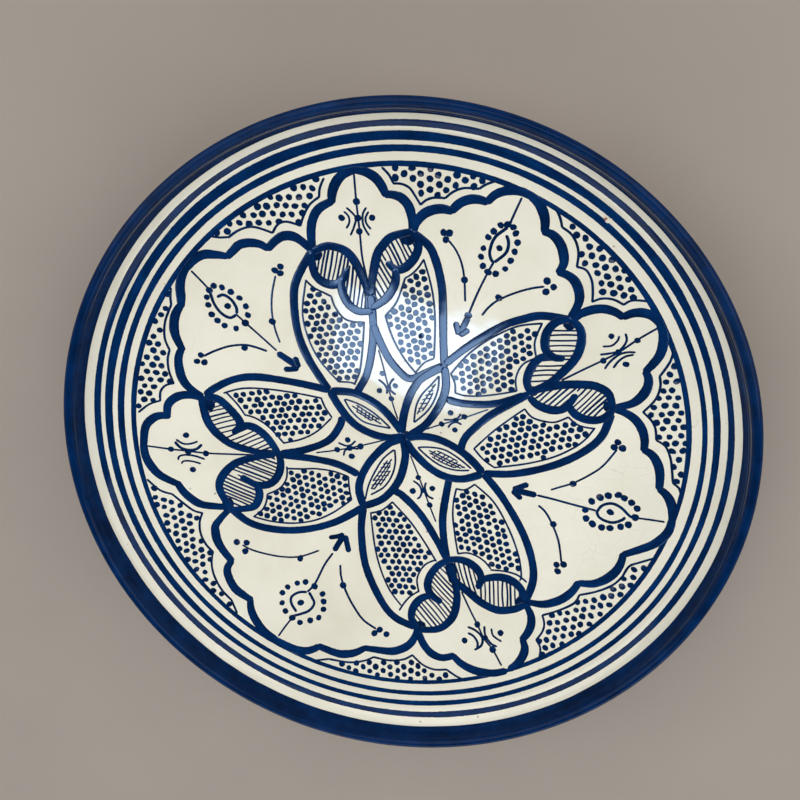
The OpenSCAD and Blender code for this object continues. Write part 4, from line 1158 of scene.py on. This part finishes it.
motif_strokes = [
    (1.1, [(-106.5, 93), (-102, 87), (-98.5, 82)]),
    (1.1, [(-87.5, 69.5), (-83, 64.5), (-76, 57), (-68, 48.5)]),
    (3.7, [(-68, 47.5), (-62, 43), (-57, 39)]),
    (3.2, [(-58.8, 45.3), (-57.8, 41.5), (-56.8, 38.8)]),
    (3.2, [(-65.3, 38), (-61, 38), (-57, 38.5)]),
    (1.6, [(-98.8, 81.5), (-97.5, 75), (-94.5, 69.8), (-90.5, 67.3), (-87, 69)]),
    (1.6, [(-95.8, 78.5), (-92.5, 79.8), (-89, 77.5), (-86.7, 73), (-86.8, 69.3)]),
    (1.1, [(-65, 90), (-67.8, 80), (-68.8, 70), (-68, 61), (-66, 53)]),
    (1.3, [(-106.5, 46), (-100, 49), (-92, 51.5), (-83, 51.8), (-73, 48.3)]),
    (1.1, [(56.8, 131), (53, 121.5), (51.8, 118)]),
    (1.2, [(45, 99.5), (42, 93.5), (37, 82), (33, 71)]),
    (3.6, [(33, 70), (31, 65.5), (28.5, 60)]),
    (3.2, [(26.5, 67.2), (27.5, 63), (28.3, 59.8)]),
    (3.2, [(33.7, 63.3), (31, 61.2), (28.5, 59.5)]),
    (1.6, [(51, 116.7), (45, 111.5), (42.8, 105), (43.3, 101), (45, 98.7)]),
    (1.6, [(50.3, 113), (51.6, 109), (50.5, 104), (45, 99)]),
    (1.1, [(22.5, 109.5), (26, 105), (28.8, 99), (30.5, 91), (31.3, 78)]),
    (1.2, [(39.8, 71), (43, 75.5), (47.5, 79.5), (55, 83.5), (63, 86.5), (70, 88)]),
    (1.1, [(138.5, -32), (130, -32.3), (124.5, -32.6)]),
    (1.3, [(104.5, -32.2), (99, -31.5), (90, -30.3), (80, -28.8), (73, -28)]),
    (3.6, [(73, -28), (67, -27.3), (60, -26.5)]),
    (3.2, [(68.3, -22), (64, -24.3), (59.8, -26.3)]),
    (3.2, [(65, -31.5), (62, -28.8), (59.5, -26.8)]),
    (1.6, [(104.5, -33.5), (106.5, -29.5), (109.5, -27.3), (113, -26.8), (117, -28.5),
           (121.5, -32.3), (124, -32.5)]),
    (1.6, [(104.5, -32), (106, -35.5), (110, -37.3), (114, -37.2), (118, -34.8), (119, -33)]),
    (1.1, [(112, 4), (106, -6), (100, -12), (92, -18), (84, -22), (80, -24)]),
    (1.2, [(74, -33.7), (78, -37), (82, -43.5), (86, -53), (88.3, -65)]),
    (1.1, [(-72.5, -122.5), (-68, -116), (-64.5, -111.5)]),
    (1.3, [(-56, -96), (-51.5, -91), (-46, -79.5), (-41, -72)]),
    (3.4, [(-40.5, -71), (-38, -66.5), (-35, -61.5)]),
    (2.8, [(-43.5, -62.8), (-38, -61.8), (-34.5, -60.3)]),
    (3.3, [(-31.8, -71.5), (-33, -66), (-34, -61)]),
    (1.6, [(-56, -96), (-61, -96.3), (-65, -99), (-65, -103), (-62, -108)]),
    (1.6, [(-55, -96), (-53, -99.5), (-51.8, -103), (-54.5, -107), (-59, -109), (-64.5, -110.5)]),
    (1.1, [(-93, -67), (-88, -70), (-80, -72.7), (-70, -74.7), (-60, -74.5), (-49, -70.7)]),
    (1.3, [(-36.8, -79), (-36.3, -86), (-34, -93.5), (-29.5, -102.5), (-23, -111.5),
           (-15, -116.7)]),
    (1.1, [(-22, 142), (-21.8, 128), (-21, 112), (-20.5, 100), (-18.5, 88)]),
    (1.1, [(-27, 124.8), (-24.5, 122.5), (-22.5, 119.5), (-24, 114.5), (-25.8, 110.8)]),
    (1.1, [(-28.3, 123), (-26, 120.3), (-26, 117), (-27.7, 114.3)]),
    (1.1, [(-17, 125), (-19, 121.5), (-19, 116), (-16.3, 110.8)]),
    (1.1, [(-16, 123), (-17.7, 120), (-17.5, 117), (-15.3, 114)]),
    (1.1, [(124.5, 71.5), (115.5, 64), (108, 57), (100.5, 51.5), (90, 44.5), (81.5, 38.7)]),
    (1.1, [(99.8, 59), (104, 59.8), (106.5, 62.5), (107.2, 65.5)]),
    (1.2, [(109.8, 67), (110.8, 63.5), (109.5, 59.8), (106.5, 56.7), (99, 54.5)]),
    (1.2, [(102, 47), (104, 51), (108, 55.5), (112, 57.2), (115.7, 57.5)]),
    (1.2, [(106, 48), (108, 51.8), (111, 54.8), (115, 56.3)]),
    (1.1, [(33.8, -90), (39, -100), (43.5, -108), (48, -116), (53, -121.5), (58.5, -130)]),
    (1.4, [(38, -110.3), (43, -112), (46.7, -115.5), (46.5, -120), (42.5, -123.3)]),
    (1.4, [(38.3, -113.8), (42, -115.5), (44.3, -119), (44, -122)]),
    (1.4, [(47.7, -108.5), (48.5, -114), (52, -118.3), (55.5, -119.5)]),
    (1.2, [(51.7, -109.3), (53, -113.5), (58, -116.3)]),
    (1.1, [(-142, -4.5), (-128.5, -7.5), (-120, -9), (-110, -10.8), (-95, -12), (-85, -12.5)]),
    (1.2, [(-125.5, -1.8), (-122, -4.5), (-118, -4.8), (-114, -3.5)]),
    (1.6, [(-126.2, -3), (-123.5, -6.8), (-119, -8.5), (-115, -8), (-112, -5.3)]),
    (1.2, [(-125.3, -14.3), (-124.5, -12), (-121, -11.3), (-116, -12.3), (-111, -14.5)]),
    (1.1, [(-123.7, -16.7), (-122.5, -15), (-118.5, -15.2), (-113.3, -17)]),
    (0.9, [(-14, 50), (-12, 42), (-10, 33), (-8.5, 26), (-6.5, 18), (-4, 10)]),
    (1.3, [(-14.5, 33), (-11.5, 30.5), (-9.8, 27.5), (-10, 24.5)]),
    (1.3, [(-5.8, 34), (-8, 31), (-8.3, 27.5), (-5, 24.3)]),
    (0.9, [(9, 4), (20, 8.5), (27, 11), (33, 13.5), (45, 19)]),
    (1.2, [(21, 11.3), (26, 11.5), (29, 13), (30.3, 15.5)]),
    (1.2, [(23.5, 6.5), (25, 9), (28, 10.3), (31, 9)]),
    (0.9, [(3, -11), (8, -24), (11, -32), (14, -40), (18, -50)]),
    (1.2, [(4.5, -26), (8, -28.5), (9.5, -32), (8.7, -35.5), (6.8, -37)]),
    (1.2, [(12, -26.5), (11.3, -30), (13, -34.5), (16.5, -36.3)]),
    (0.9, [(-11, -2.5), (-25, -6.5), (-38, -9.5), (-50, -11.3)]),
    (1.2, [(-37.5, -5), (-33, -6.8), (-30, -6), (-27.5, -3.5)]),
    (1.2, [(-34.5, -13), (-33.5, -9.5), (-30, -8.3), (-26, -8.5)]),
    (1.1, [(18.3, 36.5), (14, 31), (9, 25), (6, 18), (4.8, 8.5)]),
    (1.1, [(18.3, 36.5), (17.8, 29), (15.5, 21.5), (11.5, 15), (4.8, 8.5)]),
    (1.1, [(-33, 21), (-26, 18.5), (-19, 14.5), (-13, 9.5), (-8, 4.5)]),
    (1.1, [(-33.3, 21), (-30, 14.5), (-24, 8.5), (-17, 6), (-8, 4.5)]),
    (1.1, [(7, -6), (14, -5.5), (22, -6.5), (30, -11), (37, -16.5)]),
    (1.1, [(7, -6), (13, -11.5), (20, -16), (28, -18), (36, -17.5)]),
    (1.1, [(-22.5, -39), (-20.5, -30), (-16.5, -21), (-12, -13.5), (-6, -8)]),
    (1.1, [(-19.5, -36), (-12, -31), (-7.5, -24), (-5.5, -16), (-5.8, -8)]),
]
motif_dots = [
    (1.7, [(-91, 73.7), (-83, 64.2), (-69, 65), (-99, 82.3), (-84.8, 50.3)]),
    (1.5, [(-96.5, 84.7), (-92.5, 83.8), (-88.5, 81.3), (-84.5, 78), (-81.8, 73.5), (-81.3, 68.7),
           (-88, 61.3), (-93.7, 63), (-97, 65.8), (-99.5, 69.3), (-100.5, 74.5), (-100.7, 78.7)]),
    (1.6, [(-65, 92.7), (-62, 94.7), (-62.5, 91.2), (-107.7, 46.8), (-110, 43.2), (-106.3, 42.5)]),
    (1.5, [(47.5, 117.5), (44.3, 114.5), (41.8, 111.5), (39.6, 106), (38.5, 101.7), (39.6, 97),
           (46, 93.3), (50.5, 96), (53, 100.2), (54.7, 104.8), (55.8, 109.3), (54.8, 113.8),
           (53.5, 116.7), (47.3, 106.3)]),
    (1.7, [(50.7, 118), (42.2, 94), (33, 70.7), (30.7, 89.5), (48, 81), (20.2, 113.2), (23, 113),
           (21.3, 109.7), (71, 90.8), (74.2, 88), (70.8, 85.3)]),
    (1.8, [(101.7, -27.2), (105.8, -24.3), (109.8, -22.6), (114.8, -21.4), (117.8, -22.6),
           (121.5, -24.5), (124.5, -27.3), (121, -37.2), (117.3, -39), (112, -40.8),
           (107.8, -41.2), (103, -40), (99.5, -37.5)]),
    (1.7, [(111.5, -31.8), (98.8, -32.7), (124, -32.4), (91.5, -18.7), (82.7, -43.6), (112, 8),
           (110.5, 5), (114.5, 5), (85.8, -66.8), (89.5, -66), (86.5, -70.5)]),
    (1.6, [(-57, -90), (-61.7, -90.7), (-67.3, -93), (-70.3, -96.5), (-70.5, -102.5),
           (-68.5, -107.5), (-60, -114.3), (-54, -113), (-49, -111.3), (-46.3, -106.3),
           (-46.3, -101.6), (-47, -97)]),
    (1.8, [(-59.7, -102.5), (-51.7, -92.5), (-64.5, -111.5), (-60, -75.7), (-96, -65.2),
           (-90.5, -65.8), (-91.3, -71), (-35, -91.5), (-16, -119.2), (-13, -117), (-9, -119.3)]),
    (1.6, [(-21.7, 127.7), (-21.5, 119.7), (-21.2, 113), (-29.5, 119.7), (-14.5, 119.8)]),
    (1.5, [(115.7, 63.8), (107.7, 56.7), (101, 51.5), (103.5, 64.8), (111.8, 50.8)]),
    (1.7, [(43.7, -108.3), (48.5, -115.5), (53, -121.5), (36.8, -118.5), (57, -111.3)]),
    (1.6, [(-128.5, -7.5), (-119.7, -9.5), (-110.3, -11), (-120, 0.3), (-118, -20.3)]),
    (1.5, [(-12, 36.5), (-7.5, 22), (-14, 26.5), (-5.3, 29.6), (-9, 28.5), (24.7, 15.5),
           (27.3, 5.7), (32.2, 13.8), (20, 8.7), (27.5, 11.3)]),
    (1.6, [(7.5, -24), (4.5, -32.3), (15.5, -30), (14.2, -40), (10.7, -31.5), (-32, -3.2),
           (-25, -7), (-38, -9.3), (-30, -13), (-31, -8)]),
]
pools = [
    (8.5, [(-2.5, 1), (2, -1)]), (6.6, [(-45.6, 103.4), (-41.5, 98.5)]),
    (6.6, [(5.2, 113), (0.5, 107)]), (6.2, [(84.8, 72.3), (82, 66.5)]),
    (6.6, [(108.4, 25.8), (103.5, 29)]), (7, [(72, -92), (64.5, -91)]),
    (7, [(8.6, -114.8), (13.5, -111)]), (6.6, [(-99.2, -45), (-101, -38)]),
    (7.4, [(-109.8, 22.8), (-105, 14.5)]), (5.8, [(-17.2, 70), (-17.5, 88)]),
    (5.4, [(65, 30), (70, 32.5)]), (5.8, [(26, -73), (29.5, -86)]),
    (5.4, [(-72, -12.3), (-83, -12)]), (4.6, [(20.8, 41), (21.3, 44.5)]),
]
motifs = {"Step": 0.0006, "Swell": 0.3, "Swell Size": 110.0, "Fray": 0.0002}
on_dish(brushed("cartouche_motifs", motif_strokes, fine_cobalt, Seed=25.0, Layer=0.00002,
                **motifs), "brush_cobalt")
dabs = [(radius, spot) for radius, spots in motif_dots for spot in spots]
motif_dabs = flat_piece("motif_dabs", [(x, y, 0.0) for radius, (x, y) in dabs],
                        size=[float(radius) for radius, spot in dabs])
grown(motif_dabs, (dabs_of_paint, {"Dish": glaze_coat, "Dab Radius": 1.1 * MM, "Film": 0.0002,
                                   "Uneven": 0.1, "Seed": 90, "Paint": fine_cobalt}))
on_dish(motif_dabs, "brush_cobalt")


# ---------------------------------------------------------------- brush pools
# Where a loaded brush was set down or lifted, the cobalt pooled into a dark
# blot: at the ends of the lobed leaves and where their halves meet.

pool_cobalt = cobalt_finish("pool_cobalt", 0.08, 1.0, 0.3, 0.1)
on_dish(brushed("brush_pools", pools, pool_cobalt, Seed=26.0, Layer=0.00002, Fray=0.0006,
                **{"Swell Size": 260.0, "Swell": 0.5}), "brush_cobalt")


# ---------------------------------------------------------------- kiln mark
# A small fault of the firing beside the inner line: a pale blister in the
# glaze, and next to it a sliver of bare clay.

for label, finish, slot, size, film, spot in (
        ("kiln_mark_blister", white_glaze, "white_glaze", 1.5, 0.00045, (96.4, 121.5)),
        ("kiln_mark_clay", standing_clay, "clay", 0.7, 0.0006, (94.9, 122.2))):
    mark = flat_piece(label, [(spot[0], spot[1], 0.0)], size=[1.0])
    grown(mark, (dabs_of_paint, {"Dish": glaze_coat, "Dab Radius": size * MM, "Film": film,
                                 "Uneven": 0.3, "Seed": 7, "Paint": finish}))
    on_dish(mark, slot)


# ---------------------------------------------------------------- studio
# A pale floor under the plate, three large soft lights round it, and a small
# bluish one that the hollow of the glaze mirrors. The room is dark overhead.

floor_mesh = bpy.data.meshes.new("floor")
floor_mesh.from_pydata([(-6, -6, 0), (6, -6, 0), (6, 6, 0), (-6, 6, 0)], [], [(0, 1, 2, 3)])
floor = bpy.data.objects.new("floor", floor_mesh)
bpy.context.scene.collection.objects.link(floor)
paper, tree, surface = shader("studio_floor", Roughness=0.85, Specular_IOR_Level=0.2)
tone = noise(tree, add(tree, "ShaderNodeTexCoord").outputs["Object"], 6.0, 4.0)
tree.links.new(ramp(tree, tone, (0.3, (0.32, 0.29, 0.262)), (0.7, (0.345, 0.313, 0.283))),
               surface.inputs["Base Color"])
floor_mesh.materials.append(paper)

world = bpy.data.worlds.new("room")
world.use_nodes = True
world.node_tree.nodes["Background"].inputs["Color"].default_value = (1.0, 0.975, 0.94, 1.0)
facing = add(world.node_tree, "ShaderNodeTexCoord").outputs["Generated"]
height = parts_of(world.node_tree, facing)[2]
walls = stretched(world.node_tree, height, 0.45, 0.62, 0.42, 0.015)
world.node_tree.links.new(walls, world.node_tree.nodes["Background"].inputs["Strength"])
bpy.context.scene.world = world


def softbox(name, place, target, size, power, colour):
    """An area light at a place, turned to face a target."""
    light = bpy.data.lights.new(name, "AREA")
    light.shape = "RECTANGLE"
    light.size, light.size_y = size
    light.energy = power
    light.color = colour
    lamp = bpy.data.objects.new(name, light)
    bpy.context.scene.collection.objects.link(lamp)
    away = (Vector(place) - Vector(target)).normalized()
    turn = away.to_track_quat("Z", "Y").to_matrix().to_4x4()
    lamp.matrix_world = Matrix.Translation(place) @ turn


softbox("key", (-1.1, 1.3, 2.3), (0.0, 0.0, 0.0), (3.6, 3.0), 65.0, (1.0, 0.98, 0.95))
softbox("fill", (1.7, 0.6, 1.9), (0.0, 0.0, 0.0), (2.6, 2.4), 39.0, (1.0, 0.98, 0.95))
softbox("low_fill", (0.0, -2.7, 1.5), (0.0, 0.0, 0.0), (3.6, 1.6), 38.0, (1.0, 0.99, 0.97))
softbox("window", (-0.43, -1.585, 3.09), (0.005, 0.052, 0.016), (0.28, 0.27), 2.8,
        (0.42, 0.65, 1.0))

eye = bpy.data.cameras.new("camera")
eye.lens, eye.sensor_width, eye.clip_start = 36.0, 36.0, 0.01
camera = bpy.data.objects.new("camera", eye)
bpy.context.scene.collection.objects.link(camera)
camera.matrix_world = Matrix(((0.9914, -0.0440, 0.1231, 0.0505),
                              (0.0, 0.9416, 0.3368, 0.1673),
                              (-0.1307, -0.3339, 0.9335, 0.4177),
                              (0.0, 0.0, 0.0, 1.0)))
bpy.context.scene.camera = camera
bpy.context.scene.view_settings.view_transform = "Standard"
